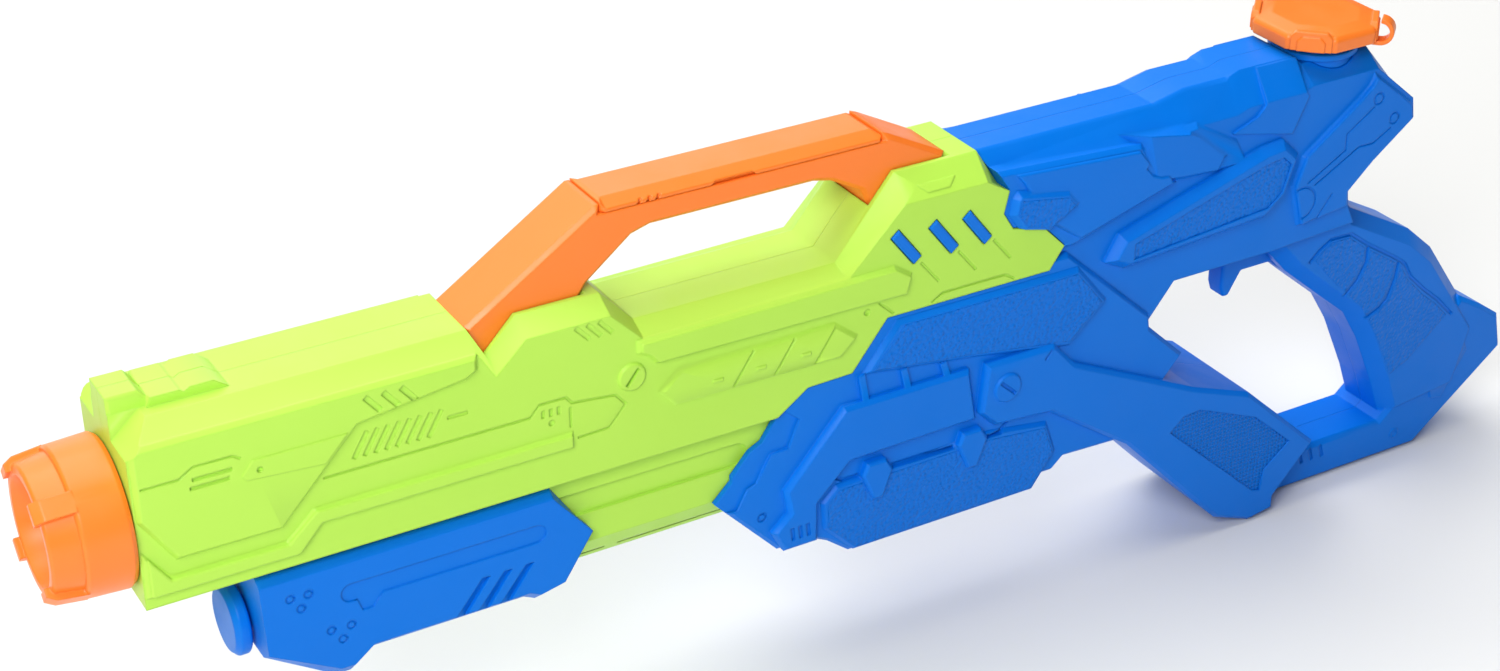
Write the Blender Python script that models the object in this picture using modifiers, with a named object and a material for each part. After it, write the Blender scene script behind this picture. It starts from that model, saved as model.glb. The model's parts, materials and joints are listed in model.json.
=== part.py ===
"""Pump-action water squirter: moulded half shells, pump, pressure tank, trigger valve and screw cap.

Sizes are millimetres until a mesh is made. X runs from the muzzle to the stock, Y across, Z up.
Outlines are side views, (x, z), measured from the middle of the muzzle's front face.
A third number in an outline is how far that point drops (or rises) at the solid's outer face.
"""
import math

import bmesh
import bpy
from mathutils import Matrix, Vector

MM = 0.001
LEFT = -1
RIGHT = 1

# Clearances
FIT = 0.3              # between pieces that sit still on each other
SLIDE_FIT = 0.45       # between pieces that slide
SEAM_GAP = 0.3         # parting line between two half shells
WALL = 2.4             # moulded wall
OVERRUN = 2.0          # how far a half runs past the middle plane before it is trimmed

# Overall reach of the side view
LUG_REACH = 2.0        # muzzle lugs ahead of the front face
STOCK_REAR = 612.0
STOCK_FLOOR = -139.0

# Front shell
SHELL_FRONT = 26.0
BARREL_TOP = 37.0
BARREL_FLOOR = -25.0
BARREL_CROWN = 14.0    # half width of the flat top
BARREL_HALF = 22.0     # half width at the side
BLOCK_PROUD = 2.0      # muzzle block's side panel above the barrel side
TROUGH_FLOOR = 24.5
HUMP_TOP = 37.5
REAR_HUMP_TOP = 53.0
SIGHT_HALF = 8.0
SIGHT_HEIGHT = 5.5

# Keel that the pump grip slides on
KEEL_FRONT = 116.0
KEEL_REAR = 252.0
KEEL_HALF = 17.5
KEEL_FLAT = 10.0
KEEL_FLOOR = -65.0
KEEL_SHOULDER = 11.0   # how far the keel's flanks stop above its floor
KEEL_RIB = 5.0
GROOVE_Z = -38.0
GROOVE_WIDTH = 9.0
GROOVE_DEPTH = 1.3
GROOVE_REAR = 236.0
HOSE_DOOR_FLOOR = -46.0
SERVICE_HALF = 14.0    # half width of the way that the hoses take

# Pump
PUMP_AXIS_Z = -53.0
PUMP_TRAVEL = 42.0
CYLINDER_BORE = 8.2    # radius
CYLINDER_WALL = 1.4
ROD_RADIUS = 4.5
KNOB_RADIUS = 12.4
KNOB_THICK = 5.5
PISTON_LENGTH = 8.0
PISTON_ROOM = 6.0      # left behind the piston at the end of its travel
GUIDE_LENGTH = 6.0
GRIP_HALF = 22.0
GRIP_FLAT = 16.0
GRIP_WALL = 3.5
GRIP_FRONT = 61.5
GRIP_REAR = 178.0
GRIP_FRONT_WALL = 8.0
RIB_FRONT = 128.0      # rib that runs in the keel's groove
RIB_LENGTH = 40.0
FIRST_SLASH = 128.0    # finger grooves
SLASH_PITCH = 8.0
SLASH_COUNT = 3
SLASH_DEPTH = 1.6

# Muzzle
COLLAR_REAR = 25.5
COLLAR_BAND_RADIUS = 25.0
COLLAR_BAND_LENGTH = 16.0
COLLAR_FRONT_RADIUS = 20.5
COLLAR_LIP = 2.4       # flat rim round the mouth
COLLAR_MOUTH = 12.4    # radius of the opening at the web
MOUTH_CONE = 3.0       # how far the mouth narrows behind its rim
COLLAR_WEB_X = 16.0
LUG_WIDTH = 7.0
LUG_COUNT = 4
SPIGOT_RADIUS = 15.0
JET_RADIUS = 6.0
JET_BORE = 1.5
HOSE_RADIUS = 2.75

# Carrying handle
HANDLE_HALF = 12.0
HANDLE_UNDERSIDE = 55.5
HANDLE_TOP = 64.0
COVER_THICK = 4.0
COVER_FRONT = 190.0
COVER_REAR = 297.0
PEG_INSET = 16.0
PEG_RADIUS = 2.0
FRONT_POCKET_FLOOR = 21.0
REAR_POCKET_FLOOR = 41.0

# Rear shell
RECEIVER_TOP = 51.0
RECEIVER_CROWN = 11.0
RECEIVER_HALF = 19.0
LOWER_HALF = 21.5
STRUT_HALF = 25.0
GRIP_SHELL_HALF = 15.0
GRIP_SHELL_ROUND = 5.5
STOCK_HALF = 14.0
TANK_DECK = 52.0       # surface that the filler neck stands on

# Tank, neck and cap
TANK_HALF = 16.5
TANK_CROWN = 9.0
TANK_TOP = 44.0
TANK_FLOOR = 2.0
TANK_FRONT = 374.0
TANK_REAR = 516.0
TANK_WALL = 1.8
NECK_X = 498.0
NECK_RADIUS = 15.0
NECK_BORE = 12.0
NECK_FLANGE = 16.8     # radius
NECK_ENGAGES = 3.5     # thread that the closed cap covers
CAP_RADIUS = 24.5
CAP_SIDES = 8
CAP_STANDS = 6.5       # cap's skirt above the deck
CAP_WALL_HEIGHT = 4.8
CAP_BEVEL = 2.4
CAP_TOP_THICK = 1.8
THREAD_DEPTH = 1.5     # room for the thread between neck and cap, which isn't drawn
RING_FIT = 0.6         # tether's ring round the neck
SEAL_THICK = 1.2
TETHER_THICK = 1.6
TETHER_WIDTH = 6.0
TETHER_ANGLE = -50.0   # degrees, from +X towards the near side
STRAP_CLEARANCE = 0.6  # under the strap as it turns over the platform

# Trigger and valve
TRIGGER_HALF = 4.5
TRIGGER_TRAVEL = 7.0
TRIGGER_BAR_TOP = -24.0
TRIGGER_BAR_FLOOR = -35.0
TRIGGER_REAR = 497.0
TRIGGER_LENGTH = 36.0  # from the finger blade's front to the spring's seat
TRIGGER_ARM = 32.0     # from the arm's front to the spring's seat
TRIGGER_ARM_THICK = 7.0
SLOT_FLOOR = -60.0
SLOT_TOP = 1.0
SPRING_SOLID = 12.0    # spring's length when the trigger is pulled home
SPRING_RADIUS = 3.6
SPRING_WIRE = 0.45     # radius
SPRING_TURNS = 5
VALVE_FRONT = 426.0
VALVE_LENGTH = 24.0
VALVE_HALF = 6.0
VALVE_AXIS_Z = -10.0
VALVE_FLOOR = -16.5
VALVE_TOP = -4.5
STEM_RADIUS = 2.0

# Screws, all driven from the right side
SCREW_SHANK = 1.4      # radius
SCREW_HEAD = 2.7       # radius
SCREW_HEAD_HEIGHT = 2.0
SCREW_SEAT = 8.0       # distance of the head's seat from the middle plane
SCREW_GRIP = 6.0       # length of thread in the left half
BOSS_RADIUS = 4.8
FRONT_SCREWS = [(x, z, BARREL_HALF) for x, z in
                ((62, 24), (120, 24), (62, -16), (104, -16), (240, -10), (316, 11))]
REAR_SCREWS = [
    (284, -74, LOWER_HALF), (348, -72, LOWER_HALF), (384, -40, LOWER_HALF), (524, 22, RECEIVER_HALF),
    (456, -106, STRUT_HALF), (STOCK_REAR - 20, -97, STOCK_HALF), (562, -74, GRIP_SHELL_HALF)]
GRIP_SCREWS = [(GRIP_FRONT + 5, -36), (87.4, -70)]

MIDDLE_X = (STOCK_REAR - LUG_REACH) / 2

# Worked out from the sizes above
CYLINDER_FRONT = KEEL_FRONT + 2
PISTON_START = GUIDE_LENGTH + 4
HEAD_PLUG = 4.0
CYLINDER_LENGTH = PISTON_START + PISTON_LENGTH + PUMP_TRAVEL + PISTON_ROOM + HEAD_PLUG
SPRING_SEAT = TRIGGER_REAR + TRIGGER_TRAVEL + SPRING_SOLID
CYLINDER_REAR = CYLINDER_FRONT + CYLINDER_LENGTH
CYLINDER_RADIUS = CYLINDER_BORE + CYLINDER_WALL
PISTON_FRONT = CYLINDER_FRONT + PISTON_START
GRIP_FLOOR = KEEL_FLOOR - SLIDE_FIT - GRIP_WALL
GRIP_INNER = KEEL_HALF + SLIDE_FIT
KNOB_FRONT = GRIP_FRONT - FIT - KNOB_THICK
VALVE_REAR = VALVE_FRONT + VALVE_LENGTH
CAP_SKIRT = TANK_DECK + CAP_STANDS
NECK_TOP = CAP_SKIRT + NECK_ENGAGES
CAP_TOP = CAP_SKIRT + CAP_WALL_HEIGHT + CAP_BEVEL
CAP_CEILING = CAP_TOP - CAP_TOP_THICK
TETHER_TOP = CAP_SKIRT - FIT
TETHER_FLOOR = TETHER_TOP - TETHER_THICK
PLATFORM_TOP = TETHER_FLOOR - STRAP_CLEARANCE
TRIGGER_FRONT = TRIGGER_REAR - TRIGGER_LENGTH
TRIGGER_HORN = TRIGGER_REAR - TRIGGER_ARM   # front face of the arm that pulls the stem

# The line where the green front shell meets the blue rear shell, from top to bottom
SEAM = [(334, REAR_HUMP_TOP, 9), (343.5, 38.5), (341.5, 30), (346, 23), (360, 19.5), (369, 10.5),
        (363, 2), (294, 2), (280, -16), (262, -16.5), (250, BARREL_FLOOR)]

FRONT_OUTLINE = [
    (SHELL_FRONT, BARREL_FLOOR), (SHELL_FRONT, BARREL_TOP, 5), (140, BARREL_TOP, 5), (146, 26, 4),
    (157, HUMP_TOP, 5), (187, HUMP_TOP, 5), (199, TROUGH_FLOOR, 4), (277, TROUGH_FLOOR, 4),
    (300, REAR_HUMP_TOP, 9), *SEAM]

KEEL_OUTLINE = [
    (KEEL_FRONT, BARREL_FLOOR + 2), (KEEL_REAR, BARREL_FLOOR + 2),
    (KEEL_REAR, KEEL_FLOOR, -KEEL_SHOULDER), (KEEL_FRONT, KEEL_FLOOR, -KEEL_SHOULDER)]

GRIP_OUTLINE = [
    (GRIP_FRONT, BARREL_FLOOR - 1, 4), (GRIP_REAR - 14, BARREL_FLOOR - 1, 4), (GRIP_REAR, -47),
    (167, GRIP_FLOOR, -5), (158, GRIP_FLOOR - 2, -5), (154, GRIP_FLOOR, -5), (98, GRIP_FLOOR, -5),
    (91, GRIP_FLOOR - 6.5, -6), (86, GRIP_FLOOR - 6.5, -6),
    (GRIP_FRONT + 1, -60, -4)]

TANK_OUTLINE = [
    (TANK_FRONT, TANK_TOP - 5, 9), (TANK_FRONT + 10, TANK_TOP, 9), (TANK_REAR - 6, TANK_TOP, 9),
    (TANK_REAR, TANK_TOP - 8, 6), (TANK_REAR, TANK_FLOOR + 16), (TANK_REAR - 16, TANK_FLOOR),
    (TANK_FRONT + 10, TANK_FLOOR), (TANK_FRONT, TANK_FLOOR + 6)]

# Panels and rooms of the front shell
BLOCK_OUTLINE = [
    (SHELL_FRONT + 0.6, 7), (SHELL_FRONT + 0.6, BARREL_TOP - 4.5), (139.4, BARREL_TOP - 4.5), (139.4, 27),
    (135, 24.5), (98, 19.5), (71, -9.5), (37, -9.5)]
LEDGE_OUTLINE = [
    (SHELL_FRONT + 0.6, -4), (35, -15), (72, -15), (82, -6), (172, -6), (172, -12), (84, -12), (76, -21),
    (SHELL_FRONT + 0.6, -21)]
RAIL_OUTLINE = [(196, 21), (296, 22), (303.5, 17), (301.5, 9.5), (203, 10.5), (199.5, 14.5), (196, 16)]
CHIPS_OUTLINE = [(202, -0.5), (211, 7.6), (272.5, 7.6), (283.5, -1.2), (275, -9.4), (209.5, -8.8)]
SIGHT_OUTLINE = [
    (SHELL_FRONT, BARREL_TOP - 2), (SHELL_FRONT, BARREL_TOP + SIGHT_HEIGHT), (36, BARREL_TOP + SIGHT_HEIGHT),
    (40, BARREL_TOP + 1.2), (49, BARREL_TOP + 1.2), (50, BARREL_TOP + 0.7), (62, BARREL_TOP + 0.7),
    (63, BARREL_TOP - 2)]
BARREL_ROOM = [
    (SHELL_FRONT + WALL, BARREL_FLOOR + WALL), (SHELL_FRONT + WALL, BARREL_TOP - 8), (134, BARREL_TOP - 8),
    (136, FRONT_POCKET_FLOOR - WALL - 1), (286, FRONT_POCKET_FLOOR - WALL - 1), (286, 8), (276, -13),
    (262, -13), (250, BARREL_FLOOR + WALL)]
HUMP_ROOM = [
    (284, 5), (284, 20), (296, REAR_POCKET_FLOOR - WALL - 1), (350, REAR_POCKET_FLOOR - WALL - 1), (376, 20),
    (376, 5)]
SERVICE_WAY = [(262, -12), (270, 6), (372, 6), (372, -12)]
FIRST_VENT = [(294.5, 32.5), (297.5, 35), (307, 23), (304, 20.5)]
VENT_SHIFTS = [0, 15.5, 29.5]
FAKE_SCREW = (194, 8)
FAKE_SCREW_RADIUS = 5.2
FRONT_FOOT = [
    (140.4, 37), (140.4, FRONT_POCKET_FLOOR), (172, FRONT_POCKET_FLOOR), (184, 40), (178, 44), (146, 44)]
REAR_FOOT = [
    (289, 46), (292, REAR_POCKET_FLOOR), (318, REAR_POCKET_FLOOR), (324, REAR_HUMP_TOP), (324, 60), (289, 60)]

# Carrying handle and its cover
HANDLE_OUTLINE = [
    (140.4, 36), (188, 67), (COVER_FRONT - FIT, 67), (COVER_FRONT - FIT, HANDLE_TOP),
    (COVER_REAR + FIT, HANDLE_TOP), (COVER_REAR + FIT, 67), (300, 66), (323, REAR_HUMP_TOP + 1),
    (318, REAR_POCKET_FLOOR), (292, REAR_POCKET_FLOOR), (289, 47.5), (277, HANDLE_UNDERSIDE - 1.5),
    (270, HANDLE_UNDERSIDE), (208, HANDLE_UNDERSIDE), (201, HANDLE_UNDERSIDE - 2), (184, 40),
    (172, FRONT_POCKET_FLOOR), (140.4, FRONT_POCKET_FLOOR)]
COVER_OUTLINE = [
    (COVER_FRONT, HANDLE_TOP + FIT), (COVER_FRONT, HANDLE_TOP + COVER_THICK - 0.5),
    (COVER_FRONT + 1.5, HANDLE_TOP + COVER_THICK), (COVER_REAR - 3, HANDLE_TOP + COVER_THICK),
    (COVER_REAR, HANDLE_TOP + COVER_THICK - 2), (COVER_REAR, HANDLE_TOP + FIT)]

# Bodies of the rear shell
RECEIVER_OUTLINE = [
    (328, -4), (328, RECEIVER_TOP, 11), (414, RECEIVER_TOP, 11), (428, RECEIVER_TOP + 3, 12),
    (447, RECEIVER_TOP + 3, 12), (453, PLATFORM_TOP, 12), (478, PLATFORM_TOP, 12), (483, TANK_DECK, 6),
    (515, TANK_DECK, 6), (535, 29.5), (536.5, 21), (517.5, 6.5), (507, -3), (508, -10), (512, -18),
    (472, -20), (424, -20), (413, -34), (396, -40)]
LOWER_OUTLINE = [
    (226, -54), (233, -47), (233, -45), (240, -37), (245, -34.5), (250, -27), (250, -20), (258, -14),
    (280, -12), (296, 6), (372, 6), (412, -30), (413, -36), (430, -52), (404, -82), (376, -81),
    (371, -85.5), (365, -85.5), (360, -91), (281, -91), (272, -84), (265, -80.5), (251, -80.5)]
STRUT_OUTLINE = [
    (336, -28), (366, -28), (376, -39), (435, -67), (463, -77.5), (500, -111), (482, -131), (482, -137),
    (470, STOCK_FLOOR), (452, -132), (442, -122), (404, -83), (366, -57), (341, -55), (334, -48)]
GRIP_SHELL_OUTLINE = [
    (468, -14), (512, -10), (519, -17.5), (552, -35), (566, -47), (596, -88), (588, -118), (550, -122),
    (543, -104), (531, -79), (522, -65), (506, -52), (488, -37), (476, -24)]
STOCK_OUTLINE = [
    (476, STOCK_FLOOR), (STOCK_REAR - 44, STOCK_FLOOR), (STOCK_REAR, -104), (STOCK_REAR - 4, -88),
    (STOCK_REAR - 15, -80.5), (STOCK_REAR - 28, -73), (STOCK_REAR - 38, -84), (STOCK_REAR - 51, -96),
    (STOCK_REAR - 52, -109), (STOCK_REAR - 66, -121.5), (480, -121.5)]

# Panels of the rear shell
WING_OUTLINE = [(338, 46), (402, 42), (408, 33), (413, 30), (420, 22.5), (374, 8.5), (340, 8)]
SPEAR_OUTLINE = [(392, 40.5), (428, 44), (448, 33), (455, 21), (421, 22)]
WEDGE_OUTLINE = [
    (389, -2.5), (395, 7.5), (460, 27), (469.5, 28), (477.5, 20.5), (472.5, 4.5), (463, -3), (398, -7)]
TAIL_OUTLINE = [
    (481, 18), (506.5, 36.5), (511, 40.5), (513, 45), (533.5, 28.7), (535, 21.6), (516.7, 7.6), (505.8, -2.5),
    (506, -9), (482, -12), (477, 6)]
SADDLE_OUTLINE = [
    (460, PLATFORM_TOP - 0.3, 11), (479, PLATFORM_TOP - 0.3, 11), (480.5, 43), (474, 29), (445, 35.5),
    (456, 39.5), (459.5, 43)]
CHIP_OUTLINE = [(347, 37.5), (369.5, 33), (375, 26.5), (361, 18), (349.5, 21), (344, 28.5), (345, 35)]
STRIP_OUTLINE = [(298, 0), (376, 0), (390, -17), (374, -32), (331, -24.5), (284, -18)]
BEAM_OUTLINE = [
    (276, -28), (329, -28), (333, -50), (279, -51), (266, -64), (266, -80), (252, -80), (247, -71),
    (254, -64.5), (252, -55)]
PLATE_OUTLINE = [
    (268, -66), (274, -60), (340, -58), (366, -62), (371, -76), (361, -90), (282, -90), (269, -77)]
FIRST_KEY = [(286, -54), (294, -54), (297, -59), (293, -70), (289, -70), (284, -59)]
KEY_SHIFTS = [0, 41]
PIVOT = (345, -39.5)
PIVOT_RADIUS = 5.9

# Rooms of the rear shell
LOWER_ROOM = [
    (248, -38), (252, -29), (262, -21), (284, -10), (302, -2), (346, -2), (372, -10), (398, -36), (396, -72),
    (370, -77), (357, -86), (286, -86), (270, -76), (248, -60)]
HOSE_ROOM = [
    (284, -12), (284, 8), (376, 8), (376, 4), (462, 4), (462, VALVE_FLOOR - FIT), (404, VALVE_FLOOR - FIT),
    (372, -12)]
TANK_LOBBY = [(344, 6), (344, 30), (378, 30), (378, 6)]
STRUT_ROOM = [(384, -49), (434, -73), (460, -83), (491, -110), (476, -126), (456, -126), (410, -80)]
STOCK_ROOM = [
    (486, STOCK_FLOOR + 4), (STOCK_REAR - 45, STOCK_FLOOR + 4), (STOCK_REAR - 6, -103), (STOCK_REAR - 9, -91),
    (STOCK_REAR - 22, -84), (STOCK_REAR - 34, -89), (STOCK_REAR - 45.5, -98), (STOCK_REAR - 47, -112),
    (STOCK_REAR - 61, -126), (486, -126)]
GRIP_ROOM = [
    (530, -32), (547, -39.5), (560, -52), (584, -88), (577, -108), (558, -108), (540, -76), (530, -62),
    (522, -48), (522, -38)]
TONGUE_OUTLINE = [(290, 17), (290, 26), (297, 36.5), (356, 36.5), (356, 17)]
HOSE_ROOM_HALF = 13.0
LOBBY_HALF = 13.5

# Trigger, with its finger hook and the arm that reaches up to the valve
TRIGGER_OUTLINE = [
    (TRIGGER_FRONT, -29), (TRIGGER_FRONT, -40), (TRIGGER_FRONT + 1.5, -44.5), (TRIGGER_FRONT + 4, -44.5),
    (TRIGGER_FRONT + 9.5, TRIGGER_BAR_FLOOR), (TRIGGER_REAR, TRIGGER_BAR_FLOOR),
    (TRIGGER_REAR, TRIGGER_BAR_TOP), (TRIGGER_HORN + TRIGGER_ARM_THICK, TRIGGER_BAR_TOP),
    (TRIGGER_HORN + TRIGGER_ARM_THICK, VALVE_AXIS_Z + 4), (TRIGGER_HORN, VALVE_AXIS_Z + 4),
    (TRIGGER_HORN, -22), (TRIGGER_FRONT + 2, -25)]

# Hose routes: points of (x, y, z)
OUTLET_BENDS = [(70, 0, 0), (140, 3, 2), (220, 0, 4), (280, 0, 0), (320, 0, -6), (370, 0, -8)]
AIR_BENDS = [
    (214, 0, PUMP_AXIS_Z), (236, 3, -45), (256, 7, -36), (286, 9, -30), (318, 9, -16), (336, 9, 2),
    (350, 9, 14), (362, 9, 18)]
AIR_INLET = (TANK_FRONT - FIT, 9, 18)


def place(x, y, z):
    """Return the scene point, in metres, of a side-view point and a distance across."""
    return Vector(((x - MIDDLE_X) * MM, y * MM, (z - STOCK_FLOOR) * MM))


def reset_scene():
    """Remove every object and make the collection that holds the parts."""
    for scene_object in list(bpy.data.objects):
        bpy.data.objects.remove(scene_object)
    collection = bpy.data.collections.new("water_squirter")
    bpy.context.scene.collection.children.link(collection)
    return collection


PARTS = reset_scene()


def plastic(name, red, green, blue, roughness, metallic=0.0):
    """Make a Principled material from linear colour values."""
    material = bpy.data.materials.new(name)
    material.use_nodes = True
    shader = material.node_tree.nodes["Principled BSDF"]
    shader.inputs["Base Color"].default_value = (red, green, blue, 1.0)
    shader.inputs["Roughness"].default_value = roughness
    shader.inputs["Metallic"].default_value = metallic
    material.diffuse_color = (red, green, blue, 1.0)
    return material


GREEN = plastic("lime_abs", 0.52, 0.87, 0.11, 0.42)
BLUE = plastic("blue_abs", 0.008, 0.17, 0.71, 0.42)
ORANGE = plastic("orange_abs", 1.0, 0.26, 0.04, 0.40)
NATURAL = plastic("natural_polypropylene", 0.75, 0.76, 0.74, 0.45)
RUBBER = plastic("black_rubber", 0.02, 0.02, 0.02, 0.7)
HOSE = plastic("clear_vinyl_hose", 0.70, 0.74, 0.72, 0.3)
STEEL = plastic("zinc_steel", 0.55, 0.55, 0.56, 0.35, 1.0)


def add_mesh(name, bm, material):
    """Turn a bmesh into a named object with outward faces."""
    bmesh.ops.recalc_face_normals(bm, faces=bm.faces)
    mesh = bpy.data.meshes.new(name)
    bm.to_mesh(mesh)
    bm.free()
    mesh.materials.append(material)
    new_object = bpy.data.objects.new(name, mesh)
    PARTS.objects.link(new_object)
    return new_object


def loft(name, rings, material):
    """Join rings of equally many points by faces and close both ends."""
    bm = bmesh.new()
    loops = [[bm.verts.new(point) for point in ring] for ring in rings]
    count = len(rings[0])
    for lower, upper in zip(loops, loops[1:]):
        for i in range(count):
            j = (i + 1) % count
            bm.faces.new((lower[i], lower[j], upper[j], upper[i]))
    bm.faces.new(loops[0])
    bm.faces.new(loops[-1])
    bmesh.ops.recalc_face_normals(bm, faces=bm.faces)
    bmesh.ops.triangulate(bm, faces=bm.faces)
    return add_mesh(name, bm, material)


def flat(outline):
    """Return an outline's own points."""
    return [(point[0], point[1]) for point in outline]


def dropped(outline):
    """Return an outline as it is at the outer face, with each point's drop taken off."""
    return [(point[0], point[1] - (point[2] if len(point) > 2 else 0)) for point in outline]


def inset(outline, distance):
    """Move an outline inwards (or outwards, for a negative distance) with mitred corners."""
    points = [Vector(point) for point in flat(outline)]
    count = len(points)
    area = sum(points[i - 1].cross(points[i]) for i in range(count))
    turn = 1 if area > 0 else -1
    moved = []
    for i in range(count):
        before = (points[i] - points[i - 1]).normalized()
        after = (points[(i + 1) % count] - points[i]).normalized()
        normal_before = Vector((-before.y, before.x)) * turn
        normal_after = Vector((-after.y, after.x)) * turn
        bisector = normal_before + normal_after
        length = 2 * distance / bisector.length_squared
        moved.append(tuple(points[i] + bisector * length))
    return moved


def slab(name, levels, side, material):
    """Loft side-view outlines, each at its own distance from the middle plane."""
    rings = [[place(x, side * across, z) for x, z in outline] for across, outline in levels]
    return loft(name, rings, material)


def prism(name, outline, inner, outer, side, material):
    """Extrude an outline between two distances from the middle plane."""
    return slab(name, [(inner, flat(outline)), (outer, flat(outline))], side, material)


def panel(name, outline, inner, outer, chamfer, side, material):
    """Extrude an outline and chamfer its outer rim."""
    levels = [(inner, flat(outline)), (outer - chamfer, flat(outline)), (outer, inset(outline, chamfer))]
    return slab(name, levels, side, material)


def crowned(name, outline, crown, half, side, material, inner=-OVERRUN):
    """Extrude an outline to its crown's half width and let its points drop to the full width."""
    levels = [(inner, flat(outline)), (crown, flat(outline)), (half, dropped(outline))]
    return slab(name, levels, side, material)


def trim(shell, side):
    """Cut a half off at its side of the parting line."""
    everything = box_outline(-50, STOCK_REAR + 50, STOCK_FLOOR - 50, RECEIVER_TOP + 50)
    cut(shell, prism("beyond", everything, -50, SEAM_GAP / 2, side, NATURAL))


def bar(name, outline, half, chamfer, material, seat=None):
    """Extrude an outline across the middle plane and chamfer both rims, except along a seat's height."""
    rim = [(x, seat if old[1] == seat else z) for (x, z), old in zip(inset(outline, chamfer), outline)]
    levels = [(-half, rim), (chamfer - half, flat(outline)), (half - chamfer, flat(outline)), (half, rim)]
    return slab(name, levels, LEFT, material)


def turned(name, profile, centre, direction, material, steps=18, start=0.0):
    """Turn a closed profile of (radius, height) points about a direction through a centre."""
    mesh = bpy.data.meshes.new(name)
    points = [(radius * MM, 0, height * MM) for radius, height in profile]
    pairs = [(i, (i + 1) % len(points)) for i in range(len(points))]
    mesh.from_pydata(points, [(a, b) for a, b in pairs if profile[a][0] or profile[b][0]], [])
    spun = bpy.data.objects.new(name, mesh)
    PARTS.objects.link(spun)
    screw = spun.modifiers.new("Turn", "SCREW")
    screw.steps = steps
    screw.render_steps = steps
    screw.use_merge_vertices = True
    screw.merge_threshold = 0.000001
    bake(spun)
    bm = bmesh.new()
    bm.from_mesh(spun.data)
    bpy.data.objects.remove(spun)
    bmesh.ops.remove_doubles(bm, verts=bm.verts, dist=0.000001)
    turn = Vector((0, 0, 1)).rotation_difference(Vector(direction)).to_matrix().to_4x4()
    spin = Matrix.Rotation(math.radians(start), 4, "Z")
    bmesh.ops.transform(bm, matrix=Matrix.Translation(centre) @ turn @ spin, verts=bm.verts)
    return add_mesh(name, bm, material)


def rod(name, start, end, radius, material, steps=16):
    """Make a plain round bar between two scene points."""
    length = (end - start).length / MM
    profile = [(0, length), (radius, length), (radius, 0), (0, 0)]
    return turned(name, profile, start, end - start, material, steps)


def bake(target):
    """Replace an object's mesh by what its modifiers make of it."""
    graph = bpy.context.evaluated_depsgraph_get()
    mesh = bpy.data.meshes.new_from_object(target.evaluated_get(graph))
    target.modifiers.clear()
    target.data = mesh


def boolean(target, tool, operation):
    """Join or cut a target with a tool, and remove the tool."""
    modifier = target.modifiers.new(operation.title(), "BOOLEAN")
    modifier.operation = operation
    modifier.solver = "EXACT"
    modifier.object = tool
    bake(target)
    bpy.data.objects.remove(tool)


def join(target, *tools):
    """Unite a target with each tool in turn."""
    for tool in tools:
        boolean(target, tool, "UNION")


def cut(target, *tools):
    """Take each tool in turn out of a target."""
    for tool in tools:
        boolean(target, tool, "DIFFERENCE")


def finish(target, material, origin=None):
    """Merge flat faces of a mesh, give it one material, smooth its round faces and move its origin."""
    bm = bmesh.new()
    bm.from_mesh(target.data)
    bmesh.ops.dissolve_limit(bm, angle_limit=math.radians(0.2), verts=bm.verts, edges=bm.edges)
    bm.normal_update()
    bmesh.ops.triangulate(bm, faces=bm.faces)
    if origin is not None:
        bmesh.ops.translate(bm, vec=-origin, verts=bm.verts)
        target.location = origin
    bm.to_mesh(target.data)
    bm.free()
    target.data.materials.clear()
    target.data.materials.append(material)
    target.data.shade_smooth()
    target.data.set_sharp_from_angle(angle=math.radians(35))
    return target


def across(name, x, z, radius, near, far, side, material, steps=10):
    """Make a round bar across the middle plane, between two distances from it."""
    return rod(name, place(x, side * near, z), place(x, side * far, z), radius, material, steps)


def screw_bosses(shell, places, side, material):
    """Add a round boss at each screw of a half shell, from near the parting line to the side wall."""
    for x, z, half in places:
        join(shell, across("boss", x, z, BOSS_RADIUS, SEAM_GAP, half - 1, side, material))


def screw_holes(shell, places, side, material):
    """Cut a clear hole with a well for the head on the right, or a blind pilot hole on the left."""
    clear = SCREW_SHANK + FIT
    well = SCREW_HEAD + FIT
    reach = STRUT_HALF + 12
    for x, z, *_ in places:
        if side == RIGHT:
            profile = [(0, reach), (well, reach), (well, SCREW_SEAT), (clear, SCREW_SEAT), (clear, -1),
                       (0, -1)]
            cut(shell, turned("screw_way", profile, place(x, 0, z), (0, 1, 0), material, 8))
        else:
            cut(shell, across("pilot", x, z, clear, -1, SCREW_GRIP + 1, side, material, 8))


def screws(prefix, places):
    """Make one pan-head screw in each place, with its head on the right."""
    seat = SCREW_SEAT + FIT
    total = seat + SCREW_GRIP + SCREW_HEAD_HEIGHT
    for number, (x, z, *_) in enumerate(places, 1):
        profile = [(0, total), (SCREW_HEAD * 0.75, total), (SCREW_HEAD, seat + SCREW_GRIP),
                   (SCREW_SHANK, seat + SCREW_GRIP), (SCREW_SHANK, 1), (0, 0)]
        start = place(x, -SCREW_GRIP, z)
        finish(turned(f"{prefix}_{number}", profile, start, (0, 1, 0), STEEL, 8), STEEL)


def tube(name, route, radius, material, resolution=1):
    """Make a hose along a smooth curve through the points of a route."""
    points = [place(*point) for point in route]
    padded = [2 * points[0] - points[1], *points, 2 * points[-1] - points[-2]]
    samples = []
    for a, b, c, d in zip(padded, padded[1:], padded[2:], padded[3:]):
        steps = max(2, round((c - b).length / (radius * MM * 6)))
        for i in range(steps):
            t = i / steps
            samples.append(0.5 * (2 * b + (c - a) * t + (2 * a - 5 * b + 4 * c - d) * t * t
                                  + (3 * b - a - 3 * c + d) * t ** 3))
    samples.append(points[-1])
    return wire(name, samples, radius, material, resolution)


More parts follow.
